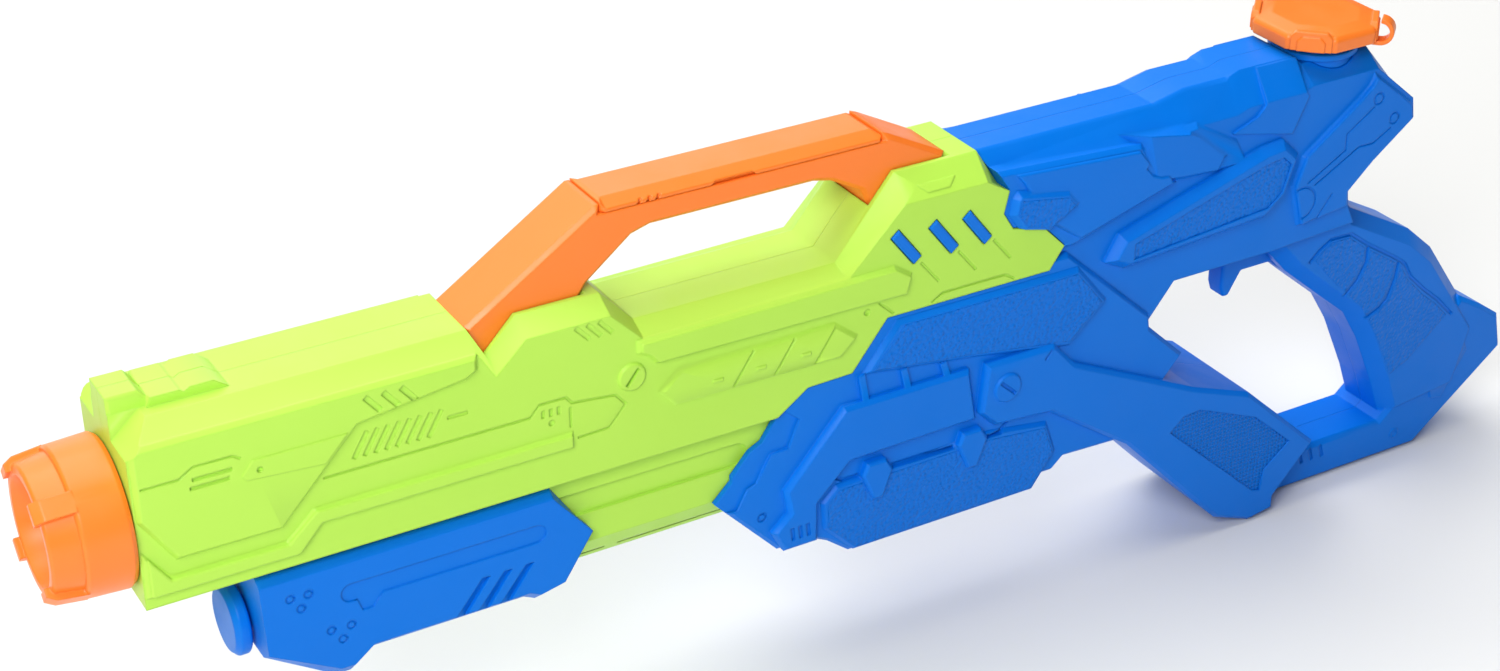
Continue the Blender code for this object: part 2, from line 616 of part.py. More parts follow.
def wire(name, points, radius, material, resolution):
    """Make a round bar along a run of scene points."""
    curve = bpy.data.curves.new(name, "CURVE")
    curve.dimensions = "3D"
    curve.bevel_depth = radius * MM
    curve.bevel_resolution = resolution
    curve.use_fill_caps = True
    spline = curve.splines.new("POLY")
    spline.points.add(len(points) - 1)
    for target, point in zip(spline.points, points):
        target.co = (*point, 1)
    curve.materials.append(material)
    new_object = bpy.data.objects.new(name, curve)
    PARTS.objects.link(new_object)
    return new_object


def cutaway(outline, inner, outer, side):
    """Make a plain cutter from a side-view outline."""
    return prism("cutter", outline, inner, outer, side, NATURAL)


def box_outline(x0, x1, z0, z1):
    """Return a rectangle as a side-view outline."""
    return [(x0, z0), (x0, z1), (x1, z1), (x1, z0)]


def ring_outline(middle, radius, count=16):
    """Return a regular polygon round a side-view point."""
    step = 2 * math.pi / count
    return [(middle[0] + radius * math.cos(i * step), middle[1] + radius * math.sin(i * step))
            for i in range(count)]


def shifted(outline, distance):
    """Return an outline moved along X."""
    return [(x + distance, z) for x, z in outline]


def handle_foot_outlines(clearance):
    """Return the side views of the handle's two feet, grown by a clearance."""
    return [inset(foot, -clearance) for foot in (FRONT_FOOT, REAR_FOOT)]


def front_shell(side, name):
    """Build one green half: barrel, muzzle block, humps, keel and the panels on its side."""
    shell = crowned(name, FRONT_OUTLINE, BARREL_CROWN, BARREL_HALF, side, GREEN)
    keel = crowned("keel", KEEL_OUTLINE, KEEL_FLAT, KEEL_HALF, side, GREEN, -OVERRUN - 1)
    side_face = BARREL_HALF - 3
    join(shell, keel,
         panel("block", BLOCK_OUTLINE, side_face, BARREL_HALF + BLOCK_PROUD, 1.4, side, GREEN),
         panel("ledge", LEDGE_OUTLINE, side_face, BARREL_HALF + 1.0, 0.8, side, GREEN),
         panel("rail", RAIL_OUTLINE, side_face, BARREL_HALF + 1.2, 1.0, side, GREEN),
         panel("chips", CHIPS_OUTLINE, side_face, BARREL_HALF + 1.6, 2.6, side, GREEN),
         panel("sight", SIGHT_OUTLINE, -OVERRUN - 2, SIGHT_HALF, 1.0, side, GREEN))
    trim(shell, side)
    depth = BARREL_HALF - WALL
    cut(shell, cutaway(BARREL_ROOM, -1, depth, side),
        cutaway(HUMP_ROOM, -1, depth, side),
        cutaway(SERVICE_WAY, -1, SERVICE_HALF, side))
    bore_end = place(CYLINDER_REAR + 20, 0, PUMP_AXIS_Z)
    bore_start = place(KEEL_FRONT - 4, 0, PUMP_AXIS_Z)
    ribs = [KEEL_FRONT, KEEL_FRONT + CYLINDER_LENGTH * 0.5, CYLINDER_REAR - 1]
    rooms = [(ribs[0] + KEEL_RIB, ribs[1]), (ribs[1] + KEEL_RIB, ribs[2]),
             (ribs[2] + KEEL_RIB, KEEL_REAR + 5)]
    for start, end in rooms:
        cut(shell, cutaway(box_outline(start, end, KEEL_FLOOR + WALL, BARREL_FLOOR - WALL),
                           -1, KEEL_FLAT + 2, side))
    hose_door = box_outline(CYLINDER_REAR + KEEL_RIB, KEEL_REAR + 5, HOSE_DOOR_FLOOR, BARREL_FLOOR + 6)
    cut(shell, cutaway(hose_door, -1, KEEL_FLAT + 2, side))
    cut(shell, rod("bore", bore_start, bore_end, CYLINDER_RADIUS + FIT, NATURAL))
    groove = box_outline(KEEL_FRONT - 2, GROOVE_REAR, GROOVE_Z - GROOVE_WIDTH / 2,
                         GROOVE_Z + GROOVE_WIDTH / 2)
    cut(shell, cutaway(groove, KEEL_HALF - GROOVE_DEPTH, KEEL_HALF + 1, side))
    for foot in handle_foot_outlines(FIT):
        cut(shell, cutaway(foot, -1, HANDLE_HALF + FIT, side))
    for vent in vent_outlines(FIT):
        cut(shell, cutaway(vent, depth - 3, BARREL_HALF + 4, side))
    screw_bosses(shell, FRONT_SCREWS, side, GREEN)
    cut(shell, rod("mouth", place(SHELL_FRONT - 3, 0, 0), place(SHELL_FRONT + WALL + 1, 0, 0),
                   SPIGOT_RADIUS + FIT, NATURAL, 28))
    screw_holes(shell, FRONT_SCREWS, side, GREEN)
    disc = ring_outline(FAKE_SCREW, FAKE_SCREW_RADIUS)
    join(shell, panel("fake_screw", disc, BARREL_HALF - 1.5, BARREL_HALF + 1.0, 0.6, side, GREEN))
    return finish(shell, GREEN)


def vent_outlines(clearance):
    """Return the three slanted vents in the front shell's rear hump, grown by a clearance."""
    return [inset(shifted(FIRST_VENT, shift), -clearance) for shift in VENT_SHIFTS]


def rear_shell(side, name):
    """Build one blue half: receiver, lower body, strut, pistol grip and stock, with their panels."""
    shell = crowned(name, RECEIVER_OUTLINE, RECEIVER_CROWN, RECEIVER_HALF, side, BLUE)
    bodies = [(LOWER_OUTLINE, LOWER_HALF, 1.5), (STRUT_OUTLINE, STRUT_HALF, 1.6),
              (STOCK_OUTLINE, STOCK_HALF, 1.8), (GRIP_SHELL_OUTLINE, GRIP_SHELL_HALF, GRIP_SHELL_ROUND)]
    for number, (outline, half, chamfer) in enumerate(bodies, 1):
        join(shell, panel("body", outline, -OVERRUN - number, half, chamfer, side, BLUE))
    trim(shell, side)
    join(shell,
         panel("wing", WING_OUTLINE, RECEIVER_HALF - 4, RECEIVER_HALF + 2.5, 1.5, side, BLUE),
         panel("spear", SPEAR_OUTLINE, RECEIVER_HALF - 5, RECEIVER_HALF + 1.6, 2.0, side, BLUE),
         panel("wedge", WEDGE_OUTLINE, RECEIVER_HALF - 4, RECEIVER_HALF + 4.5, 3.0, side, BLUE),
         panel("tail", TAIL_OUTLINE, RECEIVER_HALF - 4, RECEIVER_HALF + 1.4, 1.2, side, BLUE),
         crowned("saddle", SADDLE_OUTLINE, RECEIVER_CROWN + 1.2, RECEIVER_HALF + 1.2, side, BLUE, SEAM_GAP),
         panel("chip", CHIP_OUTLINE, RECEIVER_HALF - 3, RECEIVER_HALF + 5, 2.0, side, BLUE),
         panel("strip", STRIP_OUTLINE, LOWER_HALF - 3, LOWER_HALF + 1.8, 1.5, side, BLUE),
         panel("beam", BEAM_OUTLINE, LOWER_HALF - 3, LOWER_HALF + 3.0, 1.5, side, BLUE),
         panel("plate", PLATE_OUTLINE, LOWER_HALF - 3, LOWER_HALF + 1.5, 1.2, side, BLUE))
    for shift in KEY_SHIFTS:
        key = shifted(FIRST_KEY, shift)
        join(shell, panel("key", key, LOWER_HALF - 2, LOWER_HALF + 3.2, 1.0, side, BLUE))
    disc = ring_outline(PIVOT, PIVOT_RADIUS)
    join(shell, panel("pivot", disc, STRUT_HALF - 2, STRUT_HALF + 1.0, 0.6, side, BLUE))
    cut(shell, cutaway(inset(flat(FRONT_OUTLINE), -FIT), -1, STRUT_HALF + 9, side))
    keel_way = [(x, z, drop[0] if drop else 0) for x, z, *drop in KEEL_OUTLINE]
    grown = inset(flat(keel_way), -FIT)
    grown_outer = inset(dropped(keel_way), -FIT)
    cut(shell, slab("cutter", [(-1, grown), (KEEL_FLAT + FIT, grown), (KEEL_HALF + FIT, grown_outer)],
                    side, BLUE))
    cut(shell, cutaway(LOWER_ROOM, -1, LOWER_HALF - WALL, side),
        cutaway(HOSE_ROOM, -1, HOSE_ROOM_HALF, side),
        cutaway(TANK_LOBBY, -1, LOBBY_HALF, side),
        cutaway(STRUT_ROOM, -1, STRUT_HALF - WALL, side),
        cutaway(STOCK_ROOM, -1, STOCK_HALF - WALL, side),
        cutaway(GRIP_ROOM, -1, GRIP_SHELL_HALF - 4, side))
    tank_room = inset(flat(TANK_OUTLINE), -FIT)
    tank_room_outer = inset(dropped(TANK_OUTLINE), -FIT)
    cut(shell, slab("cutter", [(-1, tank_room), (TANK_CROWN + FIT, tank_room),
                               (TANK_HALF + FIT, tank_room_outer)], side, BLUE))
    cut(shell, rod("deck_hole", place(NECK_X, 0, TANK_TOP - 3), place(NECK_X, 0, TANK_DECK + 3),
                   NECK_RADIUS + FIT, BLUE, 24))
    cut(shell, rod("flange_seat", place(NECK_X, 0, TANK_DECK + FIT / 2), place(NECK_X, 0, CAP_TOP),
                   NECK_FLANGE + FIT, BLUE, 24))
    slot_half = TRIGGER_HALF + SLIDE_FIT
    open_slot = box_outline(TRIGGER_FRONT - 4, TRIGGER_REAR - 5, SLOT_FLOOR, SLOT_TOP)
    bar_slot = box_outline(TRIGGER_HORN, SPRING_SEAT, TRIGGER_BAR_FLOOR - SLIDE_FIT,
                           TRIGGER_BAR_TOP + SLIDE_FIT)
    cut(shell, cutaway(open_slot, -1, slot_half, side), cutaway(bar_slot, -1, slot_half, side))
    screw_bosses(shell, REAR_SCREWS, side, BLUE)
    tongue_face = BARREL_HALF - WALL - FIT
    join(shell, panel("tongue", TONGUE_OUTLINE, tongue_face - WALL, tongue_face, 0.8, side, BLUE))
    for vent in vent_outlines(0):
        join(shell, panel("vent", vent, BARREL_HALF - WALL - 2, BARREL_HALF + 0.8, 0.4, side, BLUE))
    screw_holes(shell, REAR_SCREWS, side, BLUE)
    return finish(shell, BLUE)


def pump_grip(side, name):
    """Build one half of the sliding grip: a trough open at the top and rear, with a guide rib."""
    origin = place(GRIP_FRONT, 0, PUMP_AXIS_Z)
    shell = crowned(name, GRIP_OUTLINE, GRIP_FLAT, GRIP_HALF, side, BLUE)
    front_wall = GRIP_FRONT + 1 + GRIP_FRONT_WALL
    way = [(front_wall, BARREL_FLOOR + 3), (GRIP_REAR + 22, BARREL_FLOOR + 3),
           (GRIP_REAR + 22, KEEL_FLOOR - SLIDE_FIT, -KEEL_SHOULDER),
           (front_wall, KEEL_FLOOR - SLIDE_FIT, -KEEL_SHOULDER)]
    levels = [(-1, flat(way)), (KEEL_FLAT + SLIDE_FIT, flat(way)), (GRIP_INNER, dropped(way))]
    trim(shell, side)
    cut(shell, slab("cutter", levels, side, BLUE))
    rib_half = GROOVE_WIDTH / 2 - SLIDE_FIT
    rib = box_outline(RIB_FRONT, RIB_FRONT + RIB_LENGTH, GROOVE_Z - rib_half, GROOVE_Z + rib_half)
    join(shell, prism("rib", rib, KEEL_HALF - GROOVE_DEPTH + SLIDE_FIT, GRIP_INNER + 1, side, BLUE))
    hole_start = place(GRIP_FRONT - 8, 0, PUMP_AXIS_Z)
    hole_end = place(GRIP_FRONT + 20, 0, PUMP_AXIS_Z)
    cut(shell, rod("rod_hole", hole_start, hole_end, ROD_RADIUS + FIT, BLUE))
    for index in range(SLASH_COUNT):
        x = FIRST_SLASH + index * SLASH_PITCH
        slash = [(x - 2, GRIP_FLOOR + 3.5), (x + 9, GRIP_FLOOR + 17), (x + 12, GRIP_FLOOR + 17),
                 (x + 2, GRIP_FLOOR + 3.5)]
        cut(shell, cutaway(slash, GRIP_HALF - SLASH_DEPTH, GRIP_HALF + 2, side))
    screw_holes(shell, GRIP_SCREWS, side, BLUE)
    return finish(shell, BLUE, origin)


def muzzle():
    """Build the orange muzzle collar with its lugs, and the jet inside it."""
    band_front = COLLAR_REAR - COLLAR_BAND_LENGTH
    step = 1.6
    wall_back = SHELL_FRONT + WALL + FIT
    profile = [
        (COLLAR_FRONT_RADIUS, 0), (COLLAR_FRONT_RADIUS - COLLAR_LIP, 0),
        (COLLAR_FRONT_RADIUS - COLLAR_LIP - MOUTH_CONE, 5), (COLLAR_MOUTH, COLLAR_WEB_X),
        (JET_RADIUS + FIT, COLLAR_WEB_X), (JET_RADIUS + FIT, COLLAR_WEB_X + 3),
        (COLLAR_MOUTH, COLLAR_WEB_X + 3), (COLLAR_MOUTH, wall_back + 2.5),
        (SPIGOT_RADIUS + 2.5, wall_back + 2.5), (SPIGOT_RADIUS + 2.5, wall_back), (SPIGOT_RADIUS, wall_back),
        (SPIGOT_RADIUS, COLLAR_REAR),
        (COLLAR_BAND_RADIUS - 1, COLLAR_REAR), (COLLAR_BAND_RADIUS, COLLAR_REAR - 1.5),
        (COLLAR_BAND_RADIUS - 0.6, band_front + 1), (COLLAR_BAND_RADIUS - 1.4, band_front),
        (COLLAR_BAND_RADIUS - step - 0.8, band_front), (COLLAR_FRONT_RADIUS + 0.8, 0.8)]
    centre = place(0, 0, 0)
    collar = turned("muzzle_collar", profile, centre, (1, 0, 0), ORANGE, 28)
    for index in range(LUG_COUNT):
        lug_outline = [(-LUG_REACH, COLLAR_FRONT_RADIUS - 1.8), (-LUG_REACH, COLLAR_FRONT_RADIUS + 1.0),
                       (1, COLLAR_FRONT_RADIUS + 2.8), (band_front + 1.2, COLLAR_BAND_RADIUS - 0.6),
                       (band_front + 1.2, COLLAR_FRONT_RADIUS), (1.2, COLLAR_FRONT_RADIUS - 1.8)]
        lug = bar("lug", lug_outline, LUG_WIDTH / 2, 0.7, ORANGE)
        turn = Matrix.Rotation(math.radians(45 + index * 360 / LUG_COUNT), 4, "X")
        lug.data.transform(Matrix.Translation(centre) @ turn @ Matrix.Translation(-centre))
        join(collar, lug)
    finish(collar, ORANGE)
    jet_profile = [
        (JET_BORE, COLLAR_WEB_X - 6), (JET_BORE, COLLAR_WEB_X + 28), (HOSE_RADIUS - 0.5, COLLAR_WEB_X + 28),
        (HOSE_RADIUS + 0.2, COLLAR_WEB_X + 22), (JET_RADIUS - 1.5, COLLAR_WEB_X + 22),
        (JET_RADIUS - 1.5, COLLAR_WEB_X + 6), (JET_RADIUS + 2, COLLAR_WEB_X + 6),
        (JET_RADIUS + 2, COLLAR_WEB_X + 3 + FIT), (JET_RADIUS, COLLAR_WEB_X + 3 + FIT),
        (JET_RADIUS, COLLAR_WEB_X - 2), (JET_RADIUS - 2, COLLAR_WEB_X - 6)]
    finish(turned("nozzle_jet", jet_profile, centre, (1, 0, 0), ORANGE, 16), ORANGE)


def carry_handle():
    """Build the orange carrying handle, seated in two pockets, and the cover clipped on top."""
    handle = bar("carry_handle", HANDLE_OUTLINE, HANDLE_HALF, 1.6, ORANGE, HANDLE_TOP)
    pegs = (COVER_FRONT + PEG_INSET, COVER_REAR - PEG_INSET)
    for x in pegs:
        hole_floor = place(x, 0, HANDLE_TOP - 6)
        cut(handle, rod("peg_hole", hole_floor, place(x, 0, HANDLE_TOP + 3), PEG_RADIUS + FIT, ORANGE))
    finish(handle, ORANGE)
    cover = bar("handle_top_cover", COVER_OUTLINE, HANDLE_HALF, 1.5, ORANGE, HANDLE_TOP + FIT)
    for x in pegs:
        join(cover, rod("peg", place(x, 0, HANDLE_TOP - 5), place(x, 0, HANDLE_TOP + 2), PEG_RADIUS, ORANGE))
    finish(cover, ORANGE)


def pump_internals():
    """Build the cylinder, its rod guide and head, and the rod, piston and ring that slide in it."""
    axis = place(0, 0, PUMP_AXIS_Z)
    ahead = (1, 0, 0)
    tube_wall = [(CYLINDER_BORE, CYLINDER_FRONT), (CYLINDER_BORE, CYLINDER_REAR),
                 (CYLINDER_RADIUS, CYLINDER_REAR), (CYLINDER_RADIUS, CYLINDER_FRONT)]
    finish(turned("pump_cylinder", tube_wall, axis, ahead, NATURAL), NATURAL)
    guide_end = CYLINDER_FRONT + GUIDE_LENGTH
    guide = [(ROD_RADIUS + FIT, CYLINDER_FRONT - 1.5), (ROD_RADIUS + FIT, guide_end),
             (CYLINDER_BORE - FIT, guide_end), (CYLINDER_BORE - FIT, CYLINDER_FRONT - FIT),
             (CYLINDER_RADIUS, CYLINDER_FRONT - FIT), (CYLINDER_RADIUS, CYLINDER_FRONT - 1.5)]
    finish(turned("rod_guide", guide, axis, ahead, NATURAL), NATURAL)
    head = [(0, CYLINDER_REAR - HEAD_PLUG), (0, CYLINDER_REAR + 11), (HOSE_RADIUS - 0.5, CYLINDER_REAR + 11),
            (HOSE_RADIUS + 0.2, CYLINDER_REAR + 4), (CYLINDER_RADIUS, CYLINDER_REAR + 4),
            (CYLINDER_RADIUS, CYLINDER_REAR + FIT), (CYLINDER_BORE - FIT, CYLINDER_REAR + FIT),
            (CYLINDER_BORE - FIT, CYLINDER_REAR - HEAD_PLUG)]
    finish(turned("cylinder_head", head, axis, ahead, NATURAL), NATURAL)
    wall_back = GRIP_FRONT + 1 + GRIP_FRONT_WALL + FIT
    spigot = 2.5
    rod_profile = [
        (0, KNOB_FRONT), (0, PISTON_FRONT + 6), (spigot, PISTON_FRONT + 6), (spigot, PISTON_FRONT - FIT),
        (ROD_RADIUS, PISTON_FRONT - FIT), (ROD_RADIUS, wall_back + 3), (ROD_RADIUS + 2.5, wall_back + 3),
        (ROD_RADIUS + 2.5, wall_back), (ROD_RADIUS, wall_back), (ROD_RADIUS, KNOB_FRONT + KNOB_THICK),
        (KNOB_RADIUS - 0.8, KNOB_FRONT + KNOB_THICK), (KNOB_RADIUS, KNOB_FRONT + KNOB_THICK - 0.8),
        (KNOB_RADIUS, KNOB_FRONT + 1.2), (KNOB_RADIUS - 1.2, KNOB_FRONT)]
    finish(turned("pump_rod", rod_profile, axis, ahead, BLUE), BLUE, axis + Vector((KNOB_FRONT * MM, 0, 0)))
    groove = PISTON_FRONT + PISTON_LENGTH / 2
    ring = 0.8
    seat = CYLINDER_BORE - 2 * ring - 2 * FIT + 0.2
    piston_radius = CYLINDER_BORE - FIT
    piston = [
        (spigot + FIT, PISTON_FRONT), (spigot + FIT, PISTON_FRONT + PISTON_LENGTH),
        (piston_radius, PISTON_FRONT + PISTON_LENGTH), (piston_radius, groove + ring + FIT),
        (seat, groove + ring + FIT), (seat, groove - ring - FIT), (piston_radius, groove - ring - FIT),
        (piston_radius, PISTON_FRONT)]
    start = axis + Vector((PISTON_FRONT * MM, 0, 0))
    finish(turned("piston", piston, axis, ahead, NATURAL), NATURAL, start)
    middle = CYLINDER_BORE - ring - 0.15
    ring_profile = [(middle + ring * math.cos(i * math.pi / 3), groove + ring * math.sin(i * math.pi / 3))
                    for i in range(6)]
    finish(turned("piston_ring", ring_profile, axis, ahead, RUBBER), RUBBER, start)


def tank_and_cap():
    """Build the tank, the threaded neck on it, and the cap with its seal and tether."""
    tank = slab("water_tank", [
        (-TANK_HALF, dropped(TANK_OUTLINE)), (-TANK_CROWN, flat(TANK_OUTLINE)),
        (TANK_CROWN, flat(TANK_OUTLINE)), (TANK_HALF, dropped(TANK_OUTLINE))], LEFT, NATURAL)
    inner = inset(flat(TANK_OUTLINE), TANK_WALL)
    inner_outer = inset(dropped(TANK_OUTLINE), TANK_WALL)
    cut(tank, slab("cutter", [
        (TANK_WALL - TANK_HALF, inner_outer), (-TANK_CROWN, inner), (TANK_CROWN, inner),
        (TANK_HALF - TANK_WALL, inner_outer)], LEFT, NATURAL))
    filler_start = place(NECK_X, 0, TANK_TOP - 6)
    cut(tank, rod("filler", filler_start, place(NECK_X, 0, TANK_TOP + 4), NECK_BORE, NATURAL))
    finish(tank, NATURAL)
    centre = place(NECK_X, 0, 0)
    up = (0, 0, 1)
    foot = TANK_TOP + FIT
    flange = TANK_DECK + FIT
    neck = [(NECK_BORE, NECK_TOP), (NECK_RADIUS - 0.6, NECK_TOP), (NECK_RADIUS, NECK_TOP - 0.6),
            (NECK_RADIUS, flange + 3), (NECK_FLANGE, flange + 2.4), (NECK_FLANGE, flange),
            (NECK_RADIUS, flange), (NECK_RADIUS, foot), (NECK_BORE, foot)]
    finish(turned("filler_neck", neck, centre, up, BLUE, 24), BLUE)
    lift = place(NECK_X, 0, CAP_SKIRT)
    facet = 180 / CAP_SIDES
    apex = CAP_RADIUS - 7.5
    shoulder = CAP_SKIRT + CAP_WALL_HEIGHT
    solid = [(0, CAP_TOP), (apex, CAP_TOP), (CAP_RADIUS - 1.2, shoulder + 0.6), (CAP_RADIUS, shoulder - 1.0),
             (CAP_RADIUS - 0.5, CAP_SKIRT), (0, CAP_SKIRT)]
    cap = turned("filler_cap", solid, centre, up, ORANGE, CAP_SIDES, facet)
    cap_bore = NECK_RADIUS + THREAD_DEPTH
    bore_start = place(NECK_X, 0, CAP_SKIRT - 4)
    cut(cap, rod("cap_bore", bore_start, place(NECK_X, 0, CAP_CEILING), cap_bore, ORANGE, 24))
    finish(cap, ORANGE, lift)
    seal_top = CAP_CEILING - FIT
    seal = [(NECK_BORE, seal_top), (NECK_RADIUS, seal_top), (NECK_RADIUS, seal_top - SEAL_THICK),
            (NECK_BORE, seal_top - SEAL_THICK)]
    finish(turned("cap_seal", seal, centre, up, RUBBER, 24), RUBBER, lift)
    cap_tether(lift)


def cap_tether(lift):
    """Build the tether: a ring round the neck and a strap that curls up to the cap's rim."""
    bore = NECK_RADIUS + RING_FIT
    ring = [(bore, TETHER_TOP), (bore + 3, TETHER_TOP), (bore + 3, TETHER_FLOOR), (bore, TETHER_FLOOR)]
    tether = turned("cap_tether", ring, place(NECK_X, 0, 0), (0, 0, 1), ORANGE, 24)
    rim = CAP_RADIUS + 1.0
    bend = 3.4
    middle = TETHER_FLOOR + bend
    angles = [i * math.pi / 8 for i in range(9)]
    curl = {radius: [(NECK_X + rim + radius * math.sin(a), middle - radius * math.cos(a)) for a in angles]
            for radius in (bend, bend - TETHER_THICK)}
    strap_outline = [(NECK_X + bore + 1.5, TETHER_FLOOR), *curl[bend], *reversed(curl[bend - TETHER_THICK]),
                     (NECK_X + bore + 1.5, TETHER_TOP)]
    strap = bar("strap", strap_outline, TETHER_WIDTH / 2, 0.3, ORANGE)
    turn = Matrix.Rotation(math.radians(TETHER_ANGLE), 4, "Z")
    strap.data.transform(Matrix.Translation(lift) @ turn @ Matrix.Translation(-lift))
    join(tether, strap)
    finish(tether, ORANGE, lift)


def trigger_and_valve():
    """Build the trigger, its return spring, and the valve with the stem that the trigger pulls."""
    origin = place(TRIGGER_REAR, 0, (TRIGGER_BAR_TOP + TRIGGER_BAR_FLOOR) / 2)
    finish(bar("trigger", TRIGGER_OUTLINE, TRIGGER_HALF, 0.8, BLUE), BLUE, origin)
    start = TRIGGER_REAR + FIT + SPRING_WIRE
    length = SPRING_SEAT - FIT - SPRING_WIRE - start
    count = SPRING_TURNS * 8
    turns = [place(start + length * i / count, SPRING_RADIUS * math.cos(i * math.pi / 4),
                   (TRIGGER_BAR_TOP + TRIGGER_BAR_FLOOR) / 2 + SPRING_RADIUS * math.sin(i * math.pi / 4))
             for i in range(count + 1)]
    print("least gap between spring turns, mm:", round(length / SPRING_TURNS - 2 * SPRING_WIRE, 2))
    wire("trigger_spring", turns, SPRING_WIRE, STEEL, 1)
    block = box_outline(VALVE_FRONT, VALVE_REAR, VALVE_FLOOR, VALVE_TOP)
    valve = bar("valve_body", block, VALVE_HALF, 0.8, NATURAL)
    bore_start = place(VALVE_FRONT + 6, 0, VALVE_AXIS_Z)
    bore_end = place(VALVE_REAR + 3, 0, VALVE_AXIS_Z)
    cut(valve, rod("valve_bore", bore_start, bore_end, STEM_RADIUS + FIT, NATURAL))
    finish(valve, NATURAL)
    stem_start = place(VALVE_FRONT + 7, 0, VALVE_AXIS_Z)
    stem_end = place(TRIGGER_HORN - FIT, 0, VALVE_AXIS_Z)
    finish(rod("valve_stem", stem_start, stem_end, STEM_RADIUS, NATURAL), NATURAL, stem_start)


def hoses():
    """Build the three hoses: valve to jet, tank to valve, and pump to tank."""
    jet_end = COLLAR_WEB_X + 28 + FIT
    valve_inlet = (VALVE_FRONT - FIT, 0, VALVE_AXIS_Z)
    tube("outlet_hose", [(jet_end, 0, 0), *OUTLET_BENDS, valve_inlet], HOSE_RADIUS, HOSE)
    feed_x = VALVE_FRONT + 12
    tube("feed_hose", [(feed_x, 0, TANK_FLOOR - FIT), (feed_x, 0, VALVE_TOP + FIT)], HOSE_RADIUS, HOSE)
    head_end = CYLINDER_REAR + 11 + FIT
    tube("air_hose", [(head_end, 0, PUMP_AXIS_Z), *AIR_BENDS, AIR_INLET], HOSE_RADIUS, HOSE)


def main():
    """Build every sub-part in place."""
    for side, label in ((LEFT, "left"), (RIGHT, "right")):
        front_shell(side, f"front_shell_{label}")
        rear_shell(side, f"rear_shell_{label}")
        pump_grip(side, f"pump_grip_{label}")
    muzzle()
    carry_handle()
    pump_internals()
    tank_and_cap()
    trigger_and_valve()
    hoses()
    screws("front_screw", FRONT_SCREWS)
    screws("rear_screw", REAR_SCREWS)
    screws("grip_screw", GRIP_SCREWS)


main()
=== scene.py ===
"""Looks of a pump-action water squirter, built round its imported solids.

Places are side-view points in millimetres, (x, z): x runs back from the muzzle's front face and z up from the
barrel's axis. A level is a distance from the middle plane. The frame itself is in metres, Z up.
"""
import json
import logging
import math
from dataclasses import dataclass
from enum import Enum
from typing import Any, Callable, ClassVar, Iterator, Sequence

import bpy
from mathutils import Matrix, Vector

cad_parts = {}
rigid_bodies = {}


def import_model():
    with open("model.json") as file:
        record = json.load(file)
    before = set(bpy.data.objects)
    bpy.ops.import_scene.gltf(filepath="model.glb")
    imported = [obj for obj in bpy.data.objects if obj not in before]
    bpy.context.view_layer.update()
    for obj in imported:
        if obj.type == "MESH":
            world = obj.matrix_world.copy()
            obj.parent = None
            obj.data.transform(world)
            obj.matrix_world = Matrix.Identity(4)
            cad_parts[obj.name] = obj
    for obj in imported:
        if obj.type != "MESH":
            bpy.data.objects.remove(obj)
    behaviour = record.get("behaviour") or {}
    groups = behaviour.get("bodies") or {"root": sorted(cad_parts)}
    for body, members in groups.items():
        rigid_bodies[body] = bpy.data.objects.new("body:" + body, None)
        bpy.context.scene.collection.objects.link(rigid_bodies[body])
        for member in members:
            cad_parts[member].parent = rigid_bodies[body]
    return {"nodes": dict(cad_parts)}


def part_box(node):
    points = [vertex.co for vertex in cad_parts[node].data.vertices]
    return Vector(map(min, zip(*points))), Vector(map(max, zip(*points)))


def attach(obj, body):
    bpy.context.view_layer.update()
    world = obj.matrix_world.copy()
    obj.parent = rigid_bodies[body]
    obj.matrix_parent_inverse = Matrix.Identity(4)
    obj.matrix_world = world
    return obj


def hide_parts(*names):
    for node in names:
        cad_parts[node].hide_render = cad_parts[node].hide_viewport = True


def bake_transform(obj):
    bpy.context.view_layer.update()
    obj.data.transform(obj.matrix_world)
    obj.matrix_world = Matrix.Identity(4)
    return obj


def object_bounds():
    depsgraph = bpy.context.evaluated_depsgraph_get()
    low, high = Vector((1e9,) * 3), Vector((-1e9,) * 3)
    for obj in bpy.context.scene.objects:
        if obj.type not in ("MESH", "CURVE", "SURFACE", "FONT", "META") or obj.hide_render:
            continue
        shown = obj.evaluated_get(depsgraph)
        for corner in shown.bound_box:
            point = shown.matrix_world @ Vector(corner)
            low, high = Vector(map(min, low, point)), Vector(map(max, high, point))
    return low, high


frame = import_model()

LOG = logging.getLogger("water_squirter")
Point = tuple[float, float]
Outline = Sequence[Point]
Table = tuple[Point, ...]

MM = 0.001
CAD_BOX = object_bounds()
STOCK_REAR = 612.0
STOCK_FLOOR = -139.0
ORIGIN = Vector((CAD_BOX[1].x - STOCK_REAR * MM, 0.0, CAD_BOX[0].z - STOCK_FLOOR * MM))
ALONG = Vector((1, 0, 0))
ACROSS = Vector((0, 1, 0))
UP = Vector((0, 0, 1))
MERGE = 0.002 * MM      # points closer than this are one
SAME = 0.01 * MM        # a solid's corner is found within this
SPECK = 0.1 * MM        # plane that is merged into the first corner of a run
FLAT = 0.3              # triangles of one flat CAD face differ by less, degrees
ROUND = 20.0            # faces that differ by less are shaded as one, degrees
FACE_WEIGHT = 80        # how far large faces lead the shading


class Side(Enum):
    """The two halves, by the sign of Y."""

    LEFT = -1
    RIGHT = 1

    @property
    def label(self) -> str:
        """The half's name, as the solids have it."""
        return self.name.lower()


class Grain(Enum):
    """How the mould's surface was textured."""

    SATIN = "satin"
    PEBBLE = "pebble"
    HATCH = "hatch"


def at(x: float, level: float, z: float, side: Side = Side.LEFT) -> Vector:
    """Find the frame point of a side-view point.

    Args:
        x: Distance behind the muzzle's front face, mm.
        level: Distance from the middle plane, mm.
        z: Height above the barrel's axis, mm.
        side: Half that the point lies on.

    Returns:
        The point in metres, in the frame.
    """
    return ORIGIN + Vector((x, side.value * level, z)) * MM


